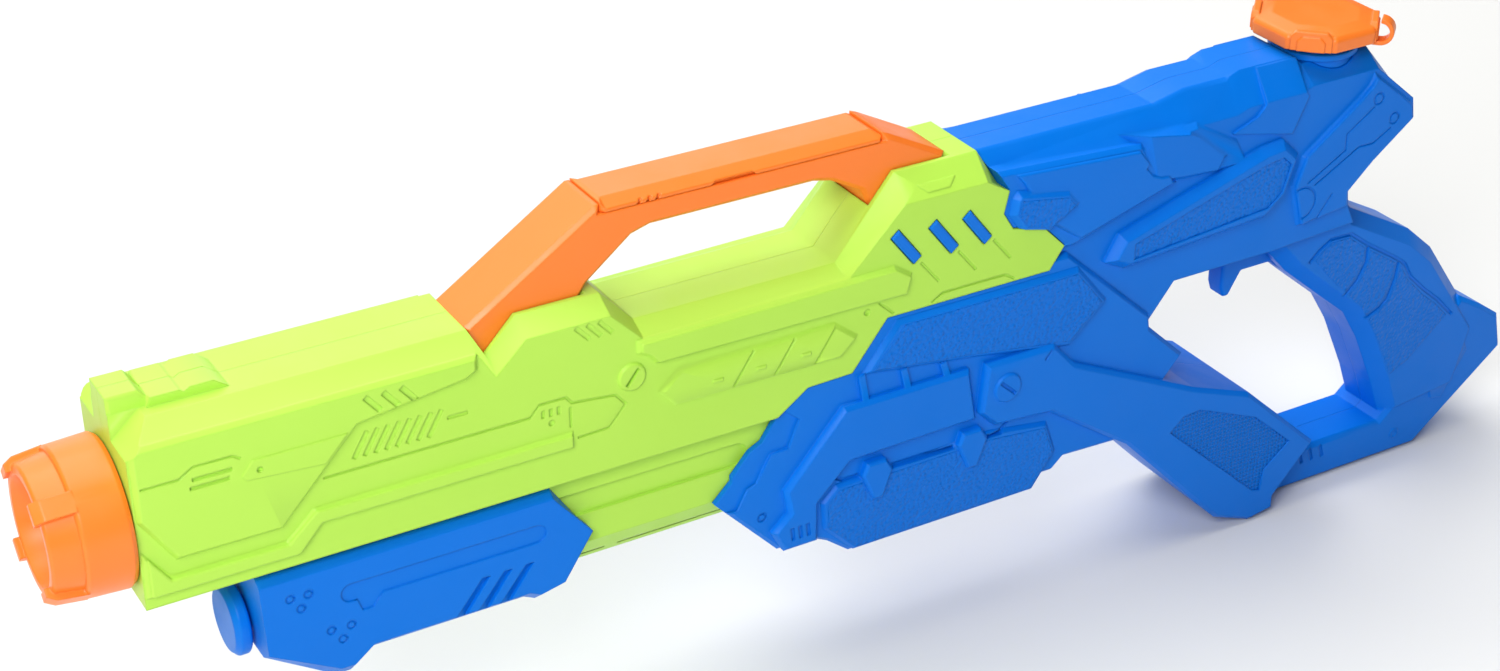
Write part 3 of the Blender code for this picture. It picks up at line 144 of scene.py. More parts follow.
def linear(colour: str) -> tuple[float, float, float, float]:
    """Turn an sRGB hex value into a linear colour.

    Args:
        colour: Six hex digits after a hash sign.

    Returns:
        Linear red, green, blue and full alpha.
    """
    parts = [int(colour[i:i + 2], 16) / 255 for i in (1, 3, 5)]
    red, green, blue = [p / 12.92 if p <= 0.04045 else ((p + 0.055) / 1.055) ** 2.4 for p in parts]
    return red, green, blue, 1.0


def add_node(tree: bpy.types.NodeTree, kind: str, settings: dict[Any, Any],
             links: dict[Any, bpy.types.NodeSocket]) -> bpy.types.Node:
    """Add a node with its settings and links.

    Args:
        tree: Node tree of a material or world.
        kind: Node type.
        settings: Values of sockets, by name or number, and of the node's own properties.
        links: Sockets that feed this node's inputs, by name or number.

    Returns:
        The new node.
    """
    node = tree.nodes.new(kind)
    for key, value in settings.items():
        if isinstance(key, int) or key in node.inputs:
            node.inputs[key].default_value = value
        else:
            setattr(node, key, value)
    for key, socket in links.items():
        tree.links.new(socket, node.inputs[key])
    return node


@dataclass(frozen=True)
class Finish:
    """A surface with one shader."""

    name: str
    colour: str
    roughness: float

    def material(self) -> bpy.types.Material:
        """Make the material, or find it if it was made before.

        Returns:
            The material.
        """
        made = bpy.data.materials.get(self.name)
        if made is None:
            made = bpy.data.materials.new(self.name)
            made.use_nodes = True
            shader = made.node_tree.nodes["Principled BSDF"]
            shader.inputs["Base Color"].default_value = linear(self.colour)
            shader.inputs["Roughness"].default_value = self.roughness
            self.paint(made.node_tree, shader)
        return made

    def paint(self, tree: bpy.types.NodeTree, shader: bpy.types.Node) -> None:
        """Add what the finish has beyond its colour and roughness."""


@dataclass(frozen=True)
class MattPaper(Finish):
    """Uncoated white paper: it scatters light evenly and hardly mirrors."""

    specular: float = 0.1

    def paint(self, tree: bpy.types.NodeTree, shader: bpy.types.Node) -> None:
        """Take most of the gloss away."""
        shader.inputs["Specular IOR Level"].default_value = self.specular


@dataclass(frozen=True)
class MouldedPlastic(Finish):
    """Injection-moulded plastic: a satin skin with soft edges, faint flow shades and dull patches."""

    flow_colour: str
    grain: Grain = Grain.SATIN
    specular: float = 0.35
    edge_radius: float = 0.9
    edge_samples: int = 6
    grain_size: float = 1.4
    grain_depth: float = 0.012
    flow_size: float = 70.0
    patch_size: float = 14.0
    patch_range: Point = (0.35, 0.7)
    patch_change: Point = (-0.05, 0.07)

    def paint(self, tree: bpy.types.NodeTree, shader: bpy.types.Node) -> None:
        """Add the flow shades, the dull patches, the soft edges and the grain.

        Args:
            tree: The material's node tree.
            shader: Its shader.
        """
        shader.inputs["Specular IOR Level"].default_value = self.specular
        place = add_node(tree, "ShaderNodeTexCoord", {}, {}).outputs["Object"]
        # Slow flow shades from the mould's filling, a few centimetres wide.
        flow = add_node(tree, "ShaderNodeTexNoise", {"Scale": 1 / (self.flow_size * MM), "Detail": 3.0},
                        {"Vector": place})
        colour = add_node(tree, "ShaderNodeMix",
                          {"data_type": "RGBA", 6: linear(self.colour), 7: linear(self.flow_colour)},
                          {0: flow.outputs["Fac"]})
        # Handling dulls the skin in patches of about a centimetre.
        patch = add_node(tree, "ShaderNodeTexNoise", {"Scale": 1 / (self.patch_size * MM), "Detail": 4.0},
                         {"Vector": place})
        low, high = self.patch_range
        less, more = self.patch_change
        dull = add_node(tree, "ShaderNodeMapRange",
                        {"From Min": low, "From Max": high, "To Min": self.roughness + less,
                         "To Max": self.roughness + more}, {"Value": patch.outputs["Fac"]})
        # A mould's edges are never sharp, so light rolls over each of them.
        rounded = add_node(tree, "ShaderNodeBevel",
                           {"samples": self.edge_samples, "Radius": self.edge_radius * MM}, {})
        bump = add_node(tree, "ShaderNodeBump", {"Strength": 1.0, "Distance": self.grain_depth * MM},
                        {"Height": self.grain_height(tree, place), "Normal": rounded.outputs["Normal"]})
        tree.links.new(colour.outputs[2], shader.inputs["Base Color"])
        tree.links.new(dull.outputs["Result"], shader.inputs["Roughness"])
        tree.links.new(bump.outputs["Normal"], shader.inputs["Normal"])

    def grain_height(self, tree: bpy.types.NodeTree, place: bpy.types.NodeSocket) -> bpy.types.NodeSocket:
        """Draw the mould's surface texture.

        Args:
            tree: The material's node tree.
            place: Object coordinates.

        Returns:
            A socket with the height of the texture, from 0 to 1.
        """
        scale = 1 / (self.grain_size * MM)
        if self.grain is Grain.HATCH:
            # A wave's own period is a twentieth of a turn of its scale.
            bands = [add_node(tree, "ShaderNodeTexWave",
                              {"Scale": scale * math.tau / 20, "bands_direction": way},
                              {"Vector": place}).outputs["Fac"] for way in ("X", "Z")]
            return add_node(tree, "ShaderNodeMath", {"operation": "MINIMUM"},
                            {0: bands[0], 1: bands[1]}).outputs["Value"]
        if self.grain is Grain.PEBBLE:
            cells = add_node(tree, "ShaderNodeTexVoronoi", {"Scale": scale, "feature": "SMOOTH_F1"},
                             {"Vector": place})
            return add_node(tree, "ShaderNodeMath", {"operation": "SUBTRACT", 0: 1.0},
                            {1: cells.outputs["Distance"]}).outputs["Value"]
        return add_node(tree, "ShaderNodeTexNoise", {"Scale": scale, "Detail": 2.0},
                        {"Vector": place}).outputs["Fac"]


@dataclass(frozen=True)
class PlatedSteel(Finish):
    """Zinc-plated steel: bright, slightly blue, with a fine grain."""

    grain_size: float = 0.6
    grain_change: Point = (-0.08, 0.1)

    def paint(self, tree: bpy.types.NodeTree, shader: bpy.types.Node) -> None:
        """Add the metal and the grain of its plating.

        Args:
            tree: The material's node tree.
            shader: Its shader.
        """
        shader.inputs["Metallic"].default_value = 1.0
        place = add_node(tree, "ShaderNodeTexCoord", {}, {}).outputs["Object"]
        # The plating's crystals break up the reflection.
        grain = add_node(tree, "ShaderNodeTexNoise", {"Scale": 1 / (self.grain_size * MM), "Detail": 3.0},
                         {"Vector": place})
        less, more = self.grain_change
        rough = add_node(tree, "ShaderNodeMapRange",
                         {"To Min": self.roughness + less, "To Max": self.roughness + more},
                         {"Value": grain.outputs["Fac"]})
        tree.links.new(rough.outputs["Result"], shader.inputs["Roughness"])


LIME = MouldedPlastic("lime_abs_satin", "#B2E44E", 0.42, "#B9E957", specular=0.3)
BLUE = MouldedPlastic("blue_abs_satin", "#0070DA", 0.42, "#0076E2", specular=0.16)
# Spark-eroded grip fields: the mould's pebbles and its cross hatch scatter the highlight.
BLUE_PEBBLE = MouldedPlastic("blue_abs_pebbled", "#006CD4", 0.42, "#0072DC", Grain.PEBBLE, 0.16,
                             grain_size=1.4, grain_depth=0.6)
BLUE_HATCH = MouldedPlastic("blue_abs_hatched", "#006CD4", 0.42, "#0072DC", Grain.HATCH, 0.16,
                            grain_size=1.7, grain_depth=0.5)
ORANGE = MouldedPlastic("orange_abs_satin", "#FF7C22", 0.36, "#FF832B", specular=0.45)
MILKY = MouldedPlastic("natural_polypropylene", "#DADBD6", 0.45, "#E2E3DE")
RUBBER = MouldedPlastic("black_nitrile_rubber", "#1B1B1C", 0.65, "#222223")
VINYL = MouldedPlastic("clear_vinyl", "#CDD6D3", 0.25, "#D6DEDB")
STEEL = PlatedSteel("zinc_plated_steel", "#B9BCC2", 0.32)
PAPER = MattPaper("matt_paper", "#E2E2E0", 0.95)
SLOT_FINISH: dict[str, Finish] = {
    "lime_abs": LIME, "blue_abs": BLUE, "orange_abs": ORANGE, "natural_polypropylene": MILKY,
    "black_rubber": RUBBER, "clear_vinyl_hose": VINYL, "zinc_steel": STEEL}


class Bench:
    """The modelling moves that the sub-assemblies share."""

    @staticmethod
    def mode(name: str) -> None:
        """Change to object or edit mode."""
        bpy.ops.object.mode_set(mode=name)

    @staticmethod
    def clear() -> None:
        """Leave edit mode and deselect everything."""
        if bpy.context.mode != "OBJECT":
            Bench.mode("OBJECT")
        bpy.ops.object.select_all(action="DESELECT")

    @staticmethod
    def take(piece: bpy.types.Object) -> None:
        """Make one piece the selected and active one.

        Args:
            piece: The piece.
        """
        Bench.clear()
        piece.select_set(True)
        bpy.context.view_layer.objects.active = piece

    @staticmethod
    def edit(piece: bpy.types.Object) -> None:
        """Open a piece in edit mode, with all of it selected.

        Args:
            piece: The piece.
        """
        Bench.take(piece)
        Bench.mode("EDIT")
        bpy.ops.mesh.select_all(action="SELECT")

    @staticmethod
    def blank(name: str) -> bpy.types.Object:
        """Open an empty mesh at the origin, in edit mode.

        Args:
            name: Name of the piece.

        Returns:
            The empty piece.
        """
        Bench.clear()
        bpy.ops.mesh.primitive_plane_add(size=MM)
        piece = bpy.context.object
        piece.name = name
        piece.data.name = name
        Bench.mode("EDIT")
        bpy.ops.mesh.delete(type="VERT")
        return piece

    @staticmethod
    def copy_node(node: str) -> bpy.types.Object:
        """Copy a CAD node's mesh, with its loose triangles merged into flat faces.

        Args:
            node: Name of the CAD node.

        Returns:
            The copy, which stands where the node is.
        """
        name = f"{node}_moulded"
        piece = bpy.data.objects.new(name, frame["nodes"][node].data.copy())
        piece.data.name = name
        bpy.context.scene.collection.objects.link(piece)
        Bench.edit(piece)
        bpy.ops.mesh.remove_doubles(threshold=MERGE)
        bpy.ops.mesh.dissolve_limited(angle_limit=math.radians(FLAT))
        Bench.mode("OBJECT")
        return piece

    @staticmethod
    def pick(piece: bpy.types.Object, chosen: Callable[[Vector], bool]) -> None:
        """Select the vertices that a test chooses by their place, and stay in edit mode.

        Args:
            piece: The piece.
            chosen: The test.
        """
        Bench.take(piece)
        Bench.mode("EDIT")
        bpy.ops.mesh.select_all(action="DESELECT")
        bpy.ops.mesh.select_mode(type="VERT")
        Bench.mode("OBJECT")
        for vertex in piece.data.vertices:
            vertex.select = chosen(vertex.co)
        Bench.mode("EDIT")

    @staticmethod
    def shift(piece: bpy.types.Object, way: Vector, chosen: Callable[[Vector], bool]) -> None:
        """Move the vertices that a test chooses by their place.

        Args:
            piece: The piece.
            way: How far and which way they move, mm.
            chosen: The test.
        """
        Bench.pick(piece, chosen)
        bpy.ops.transform.translate(value=way * MM)
        Bench.mode("OBJECT")

    @staticmethod
    def walk(points: Sequence[Vector]) -> None:
        """Draw a run of edges by extruding one corner from point to point, in edit mode.

        Args:
            points: Points of the run, in the frame.
        """
        bpy.ops.mesh.select_all(action="DESELECT")
        bpy.ops.mesh.primitive_plane_add(size=SPECK, location=points[0])
        bpy.ops.mesh.merge(type="CENTER")
        for here, there in zip(points, points[1:]):
            bpy.ops.mesh.extrude_vertices_move(TRANSFORM_OT_translate={"value": there - here})
        bpy.ops.mesh.select_linked()

    @staticmethod
    def extrude_outline(points: Sequence[Vector], shift: Vector) -> None:
        """Draw an outline, fill it and extrude it, in edit mode.

        Args:
            points: Corners of a flat outline, in the frame.
            shift: How far and which way the filled face is extruded.
        """
        Bench.walk(points)
        bpy.ops.mesh.edge_face_add()
        bpy.ops.mesh.extrude_region_move(TRANSFORM_OT_translate={"value": shift})
        bpy.ops.mesh.select_linked()

    @staticmethod
    def prism(outline: Outline, level: float, reach: float, side: Side = Side.LEFT) -> None:
        """Extrude a side-view outline outwards from a level, in edit mode.

        Args:
            outline: Corners of the outline, mm.
            level: Level that it is drawn at, mm.
            reach: How far out it reaches, mm. A negative reach goes inwards.
            side: Half that it lies on.
        """
        Bench.extrude_outline([at(x, level, z, side) for x, z in outline], ACROSS * side.value * reach * MM)

    @staticmethod
    def taper(name: str, low: Sequence[Vector], high: Sequence[Vector]) -> bpy.types.Object:
        """Bridge two outlines into a closed block.

        Args:
            name: Name of the block.
            low: Corners of its foot.
            high: As many corners of its top.

        Returns:
            The block.
        """
        piece = Bench.blank(name)
        for loop in (low, high):
            Bench.walk([*loop, loop[0]])
        bpy.ops.mesh.select_all(action="SELECT")
        bpy.ops.mesh.remove_doubles(threshold=MERGE)
        bpy.ops.mesh.bridge_edge_loops()
        bpy.ops.mesh.select_all(action="SELECT")
        bpy.ops.mesh.fill_holes(sides=0)
        return Bench.close(piece)

    @staticmethod
    def close(piece: bpy.types.Object) -> bpy.types.Object:
        """Merge doubles of an edited piece, turn its faces outwards and leave edit mode.

        Args:
            piece: The piece.

        Returns:
            The same piece.
        """
        bpy.ops.mesh.select_all(action="SELECT")
        bpy.ops.mesh.remove_doubles(threshold=MERGE)
        bpy.ops.mesh.normals_make_consistent(inside=False)
        Bench.mode("OBJECT")
        return piece

    @staticmethod
    def turn(name: str, centre: Vector, axis: Vector, profile: Outline, steps: int = 96) -> bpy.types.Object:
        """Spin a profile round an axis.

        Args:
            name: Name of the piece.
            centre: Point on the axis, where the profile's runs start.
            axis: Direction of the axis.
            profile: Points of (radius, run), mm. One that meets the axis stays open there.
            steps: Steps of a full turn.

        Returns:
            The turned piece.
        """
        piece = Bench.blank(name)
        across = UP if axis == ALONG else ALONG
        points = [centre + (axis * run + across * radius) * MM for radius, run in profile]
        if all(radius > 0 for radius, _ in profile):
            points.append(points[0])
        Bench.walk(points)
        bpy.ops.mesh.remove_doubles(threshold=MERGE)
        bpy.ops.mesh.spin(steps=steps, angle=math.tau, center=centre, axis=axis)
        return Bench.close(piece)

    @staticmethod
    def wind(piece: bpy.types.Object, axis: str, turns: float, rise: float, steps: int,
             start: Vector) -> bpy.types.Object:
        """Wind a section that was drawn at the origin into a coil with closed ends.

        Args:
            piece: The piece, in edit mode.
            axis: Letter of the coil's axis.
            turns: Number of turns.
            rise: Length of the coil, metres.
            steps: Steps of the whole coil.
            start: Where the coil starts, in the frame.

        Returns:
            The same piece.
        """
        Bench.mode("OBJECT")
        modifier = piece.modifiers.new("Wind", "SCREW")
        modifier.axis = axis
        modifier.angle = math.tau * turns
        modifier.screw_offset = rise
        modifier.steps = steps
        modifier.render_steps = steps
        bpy.ops.object.modifier_apply(modifier=modifier.name)
        Bench.mode("EDIT")
        bpy.ops.mesh.select_all(action="SELECT")
        bpy.ops.mesh.fill_holes(sides=0)
        bpy.ops.transform.translate(value=start)
        return Bench.close(piece)

    @staticmethod
    def combine(target: bpy.types.Object, tool: bpy.types.Object, operation: str) -> None:
        """Join or cut a target with a tool, and remove the tool.

        Args:
            target: The piece that is changed.
            tool: The mesh that is joined or cut away.
            operation: Kind of Boolean.
        """
        Bench.take(target)
        modifier = target.modifiers.new("Combine", "BOOLEAN")
        modifier.operation = operation
        modifier.solver = "EXACT"
        modifier.use_self = True
        modifier.object = tool
        bpy.ops.object.modifier_apply(modifier=modifier.name)
        bpy.data.objects.remove(tool)

    @staticmethod
    def soften(piece: bpy.types.Object, width: float, segments: int = 2, angle: float = 30.0) -> None:
        """Round a piece's edges with an applied bevel.

        Args:
            piece: The piece.
            width: Width of the bevel, mm.
            segments: Steps across the bevel.
            angle: Least angle between two faces, degrees, whose edge is rounded.
        """
        Bench.take(piece)
        modifier = piece.modifiers.new("Soften", "BEVEL")
        modifier.width = width * MM
        modifier.segments = segments
        modifier.limit_method = "ANGLE"
        modifier.angle_limit = math.radians(angle)
        bpy.ops.object.modifier_apply(modifier=modifier.name)

    @staticmethod
    def coat(piece: bpy.types.Object, finish: Finish, angle: float = ROUND) -> None:
        """Shade round faces smooth, with large flat faces kept flat, and give a piece its finish.

        Args:
            piece: The piece.
            finish: Its finish.
            angle: Greatest angle between two faces, degrees, that are shaded as one.
        """
        Bench.take(piece)
        bpy.ops.object.shade_smooth_by_angle(angle=math.radians(angle))
        modifier = piece.modifiers.new("Even", "WEIGHTED_NORMAL")
        modifier.keep_sharp = True
        modifier.weight = FACE_WEIGHT
        bpy.ops.object.modifier_apply(modifier=modifier.name)
        piece.data.materials.clear()
        piece.data.materials.append(finish.material())

    @staticmethod
    def dress(piece: bpy.types.Object, body: str, slot: str, finish: Finish, node: str | None = None) -> None:
        """Give a piece its finish and its body, and hide the CAD node that it stands for.

        Args:
            piece: The piece.
            body: CAD body that it moves with.
            slot: Material slot of the record; not used.
            finish: Its finish.
            node: CAD node that it replaces, if any.
        """
        Bench.coat(piece, finish)
        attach(piece, body)
        if node:
            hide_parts(node)
        LOG.info("piece %s on %s, %d faces", piece.name, body, len(piece.data.polygons))


def stroke(points: Outline, width: float) -> list[Point]:
    """Widen a run of side-view points into a closed outline.

    Args:
        points: The run's points, mm.
        width: Width of the line, mm.

    Returns:
        The outline, with mitred corners.
    """
    run = [Vector(point) for point in points]
    ways = [(there - here).normalized() for here, there in zip(run, run[1:])]
    near, far = [], []
    for point, before, after in zip(run, [ways[0], *ways], [*ways, ways[-1]]):
        bisector = Vector((-before.y - after.y, before.x + after.x))
        offset = bisector * (width / bisector.length_squared)
        near.append(tuple(point + offset))
        far.append(tuple(point - offset))
    return near + far[::-1]


def disc(middle: Point, radius: float, count: int = 20, share: float = 1.0) -> list[Point]:
    """Find points on a circle, or on a share of it, about a side-view point.

    Args:
        middle: Middle of the circle, mm.
        radius: Its radius, mm.
        count: Number of points.
        share: Share of the circle that they take up.

    Returns:
        The points.
    """
    turns = [i * math.tau * share / count for i in range(count)]
    return [(middle[0] + radius * math.cos(turn), middle[1] + radius * math.sin(turn)) for turn in turns]


def ring(middle: Point, radius: float, width: float, count: int = 25, share: float = 1.03) -> list[Point]:
    """Find a ring's outline, which is open by a hair so that it has one border."""
    return stroke(disc(middle, radius, count, share), width)


@dataclass(frozen=True)
class Face:
    """A face that marks are drawn on: upright at a level, or leaning inwards from a foot."""

    level: float
    foot: float = 0.0
    lean: float = 0.0

    def point(self, x: float, run: float, lift: float, side: Side) -> Vector:
        """Find a point on or over the face.

        Args:
            x: Distance behind the muzzle's front face, mm.
            run: Height along the face, mm.
            lift: Distance out of the face, mm.
            side: Half that the face is on.

        Returns:
            The point, in the frame.
        """
        tilt = math.radians(self.lean)
        rise = run - self.foot
        level = self.level - rise * math.sin(tilt) + lift * math.cos(tilt)
        return at(x, level, self.foot + rise * math.cos(tilt) + lift * math.sin(tilt), side)


@dataclass(frozen=True)
class Relief:
    """A mark of the mould: an outline on a face, raised by its height or sunk by a negative one."""

    face: Face
    outline: Outline
    height: float
    edge: float = 0.3


@dataclass(frozen=True)
class Line:
    """A kind of line that the mould's maker engraved, by its width and its height."""

    width: float
    height: float

    def along(self, face: Face, *runs: Outline) -> Iterator[Relief]:
        """Yield the line along each run of points on a face."""
        for run in runs:
            yield Relief(face, stroke(run, self.width), self.height)

    def slashes(self, face: Face, way: Point, *starts: Point) -> Iterator[Relief]:
        """Yield the line from each start on a face, always as far and in the same way."""
        yield from self.along(face, *[((x, z), (x + way[0], z + way[1])) for x, z in starts])

    def rings(self, face: Face, radius: float, *spots: Point) -> Iterator[Relief]:
        """Yield a ring of the line round each spot of a face."""
        for spot in spots:
            yield Relief(face, ring(spot, radius, self.width), self.height)

    def dots(self, face: Face, *spots: Point) -> Iterator[Relief]:
        """Yield a round dot, as wide as the line, at each spot of a face."""
        for spot in spots:
            yield Relief(face, disc(spot, self.width / 2), self.height)


GROOVE = Line(0.8, -0.5)
SHALLOW_GROOVE = Line(0.8, -0.4)
HAIRLINE = Line(0.7, -0.5)
SHALLOW_HAIRLINE = Line(0.7, -0.4)
CHANNEL = Line(1.5, -0.8)
SLOT = Line(1.3, -0.8)
COIN_SLOT = Line(1.3, -1.2)
PIVOT_SLOT = Line(1.4, -1.2)
BROAD_SLASH = Line(2.0, -0.7)
SHALLOW_SLASH = Line(1.6, -0.4)
STOCK_SLASH = Line(1.6, -0.8)
GILL = Line(1.5, -0.5)
DASH = Line(1.2, -0.5)
PIN = Line(1.1, -0.6)
TICK = Line(0.9, -0.5)
DIMPLE = Line(2.0, -0.4)
PIN_HOLE = Line(2.2, -0.6)
PIT = Line(2.4, -0.7)
RAISED_DASH = Line(1.4, 0.4)
RAISED_RING = Line(0.9, 0.4)
STAVE = Line(2.8, 1.6)


@dataclass
class Half:
    """One moulded half: a copy of its solid with the fine marks and grained panels of its mould."""

    side: Side
    family: str
    body: str
    slot: str
    finish: MouldedPlastic
    overlap: float = 1.5
    seam: float = 0.2
    seam_shown: float = 0.05
    well_floor: float = 12.0
    well_reach: float = 16.0

    @property
    def node(self) -> str:
        """Name of the half's solid."""
        return f"{self.family}_{self.side.label}"

    def reliefs(self) -> Iterator[Relief]:
        """Yield the marks of the half."""
        yield from ()

    def grains(self) -> Iterator[tuple[MouldedPlastic, Relief]]:
        """Yield the textured panels, each with its finish."""
        yield from ()

    def tool(self, name: str, reliefs: Sequence[Relief]) -> bpy.types.Object:
        """Extrude the outlines of some marks into one mesh.

        Args:
            name: Name of the mesh.
            reliefs: The marks, all raised or all sunk.

        Returns:
            The mesh.
        """
        piece = Bench.blank(name)
        for relief in reliefs:
            top = relief.height if relief.height > 0 else self.overlap
            floor = -self.overlap if relief.height > 0 else relief.height
            points = [relief.face.point(x, run, floor, self.side) for x, run in relief.outline]
            lifted = relief.face.point(*relief.outline[0], top, self.side)
            Bench.extrude_outline(points, lifted - points[0])
        return Bench.close(piece)

    def shape(self, piece: bpy.types.Object) -> None:
        """Model what outlines can't give on a copy of the half's solid, before the marks."""

    def build(self) -> None:
        """Copy the half, add its marks and panels, and dress it."""
        piece = Bench.copy_node(self.node)
        closing = -self.side.value * (self.seam - self.seam_shown)
        Bench.shift(piece, ACROSS * closing, lambda spot: abs(spot.y) < self.seam * 2 * MM)
        self.shape(piece)
        marks = list(self.reliefs())
        for edge in sorted({mark.edge for mark in marks if mark.height > 0}):
            tool = self.tool("raised", [mark for mark in marks if mark.height > 0 and mark.edge == edge])
            if edge:
                Bench.soften(tool, edge, segments=3)
            Bench.combine(piece, tool, "UNION")
        sunk = [mark for mark in marks if mark.height < 0]
        if sunk:
            Bench.combine(piece, self.tool("sunk", sunk), "DIFFERENCE")
        Bench.dress(piece, self.body, self.slot, self.finish, self.node)
        panels: dict[MouldedPlastic, list[Relief]] = {}
        for finish, relief in self.grains():
            panels.setdefault(finish, []).append(relief)
        for finish, reliefs in panels.items():
            panel = self.tool(f"{self.node}_{finish.grain.value}", reliefs)
            if self.side is Side.RIGHT:
                self.clear_screws(panel)
            Bench.dress(panel, self.body, self.slot, finish)

    def clear_screws(self, panel: bpy.types.Object) -> None:
        """Open the panels over the screw wells of the right half.

        Args:
            panel: The half's panels of one finish.
        """
        tool = Bench.blank("wells")
        for spot in Fasteners.spots("rear_screw"):
            Bench.prism(disc(spot, Fasteners.well), self.well_floor, self.well_reach, self.side)
        Bench.combine(panel, Bench.close(tool), "DIFFERENCE")


@dataclass
class FrontHalf(Half):
    """Half of the lime front shell."""

    family: str = "front_shell"
    body: str = "shell"
    slot: str = "lime_abs"
    finish: MouldedPlastic = LIME
    nose: Face = Face(8.0)
    nose_slope: Face = Face(26.0)
    block: Face = Face(24.0)
    flank: Face = Face(22.0)
    chips: Face = Face(23.6)
    ledge: Face = Face(23.0)
    rail: Face = Face(23.2)
    screw: Face = Face(23.0)
    hump: Face = Face(22.0, 44.0, 41.6)
    keel: Face = Face(17.5)
    nose_reach: float = 13.0
    bridge_reach: float = 6.0
    slope_depth: float = 17.9
    sight_half: float = 7.9
    sight: Table = ((37, 36), (39, 40.2), (48, 40.2), (49.6, 39.2), (51.4, 40.4), (59, 40.4), (65, 36))
    block_line: Table = ((28.5, 18.6), (40.5, 18.6), (45, 21.6), (57.5, 21.6), (60, 20))
    block_plate: Table = ((59.5, 13.8), (63.5, 18.4), (94.4, 18.4), (86.4, 9.8), (61, 11.8))
    block_lift: float = 0.5
    ledge_plate: Table = ((28, -6), (34.6, -15.6), (72.3, -15.6), (82.3, -6.6), (171.4, -6.6), (171.4, -11.4),
                          (83.8, -11.4), (75.8, -20.4), (28, -20.4))
    ledge_lift: float = 0.9
    ledge_edge: float = 0.8
    rail_plate: Table = ((197.2, 20), (295.8, 21), (302.4, 16.7), (300.8, 10.3), (203.4, 11.3), (200.2, 15.2),
                         (197.2, 16.6))
    rail_lift: float = 0.8
    rail_edge: float = 0.7
    panel_line: Table = ((86, 3.4), (157, 3.4), (160.5, 7.2), (170, 7.2), (172, 4.6), (188, 2.8),
                         (191.6, -1.5), (185.2, -8.8), (173.8, -9.2))
    gill_front: float = 96.5
    gill_pitch: float = 3.6
    gill_count: int = 8
    screw_middle: Point = (194.0, 8.0)
    groove_end: Point = (236.0, -38.0)
    groove_radius: float = 4.5
    groove_depth: float = 1.3
    hump_plate: Table = ((306.5, 49.6), (310, 46), (319, 46), (322.5, 49.6))
    hump_lift: float = 0.4

    def reliefs(self) -> Iterator[Relief]:
        """Draw the slots, lines, dots and small plates of the lime half.

        Yields:
            Each mark.
        """
        yield from self.muzzle_block()
        yield from self.barrel()
        yield from self.rear_hump()

    def muzzle_block(self) -> Iterator[Relief]:
        """Draw the marks of the muzzle block, its sloped nose and the sights.

        Yields:
            Each mark.
        """
        yield Relief(self.nose, [(27.5, 22), (27.5, 31.8), (46, 31.8), (46, 28)], self.nose_reach, 0)
        yield Relief(self.nose, [(27.5, 30), (27.5, 36.5), (46, 36.5), (46, 30)], self.bridge_reach, 0)
        yield Relief(self.nose_slope, [(22, 24.5), (22, 42), (41, 42)], -self.slope_depth)
        yield Relief(Face(self.overlap + self.seam_shown), self.sight, self.sight_half, 0)
        yield from SLOT.slashes(self.block, (12.5, 0), (44.5, 17.2), (43.5, 14.3))
        yield from HAIRLINE.along(self.block, self.block_line)
        yield Relief(self.block, self.block_plate, self.block_lift)
        yield from DIMPLE.dots(self.block, (65.4, 14.6))
        yield from BROAD_SLASH.slashes(self.block, (4.8, -6), (101, 29), (107, 29), (113, 29))

    def barrel(self) -> Iterator[Relief]:
        """Draw the marks between the muzzle block and the trough.

        Yields:
            Each mark.
        """
        yield Relief(self.ledge, self.ledge_plate, self.ledge_lift, self.ledge_edge)
        yield Relief(self.rail, self.rail_plate, self.rail_lift, self.rail_edge)
        gills = [(self.gill_front + self.gill_pitch * i, 7.2) for i in range(self.gill_count)]
        yield from GILL.slashes(self.flank, (5, 8.6), *gills)
        yield from DASH.slashes(self.flank, (7, 0), (128.5, 12.2))
        yield from GROOVE.along(self.flank, self.panel_line, [(171.4, 3.2), (171.4, -4.4)])
        yield from PIN.slashes(self.flank, (0, -2.8), (161.6, 4.6), (164.4, 4.6), (167.2, 4.6))
        yield from PIN_HOLE.dots(self.flank, (164.6, -0.8))
        yield from SHALLOW_SLASH.slashes(self.flank, (4.8, -5.2), (174.4, 31.6), (178.6, 31.6), (182.8, 31.6))
        x, z = self.screw_middle
        yield from COIN_SLOT.along(self.screw, [(x - 2.2, z - 2.8), (x + 2.2, z + 2.8)])
        yield from GROOVE.slashes(self.chips, (8.4, 12.4), (231.2, -7), (247.4, -7), (263.8, -7))
        yield from RAISED_DASH.slashes(self.chips, (4, 0), (223.6, -2), (240.3, -2), (258.1, -2))

    def rear_hump(self) -> Iterator[Relief]:
        """Draw the marks of the rear hump, under and behind the vents.

        Yields:
            Each mark.
        """
        yield from PIT.dots(self.flank, (285.6, 6.4))
        yield from TICK.slashes(self.flank, (7.7, -9.1), (307.3, 19.9), (322.9, 20.3), (337.7, 20.9))
        yield from GROOVE.along(self.flank, [(290.4, 8.8), (296.6, 3)],
                                [(312.4, 3), (317, 5.6), (343.4, 5.6), (347.6, 3)])
        yield from SHALLOW_GROOVE.along(self.flank, [(276, 20.4), (279, 17)])
        yield Relief(self.keel, disc(self.groove_end, self.groove_radius), -self.groove_depth)
        yield Relief(self.hump, self.hump_plate, self.hump_lift)


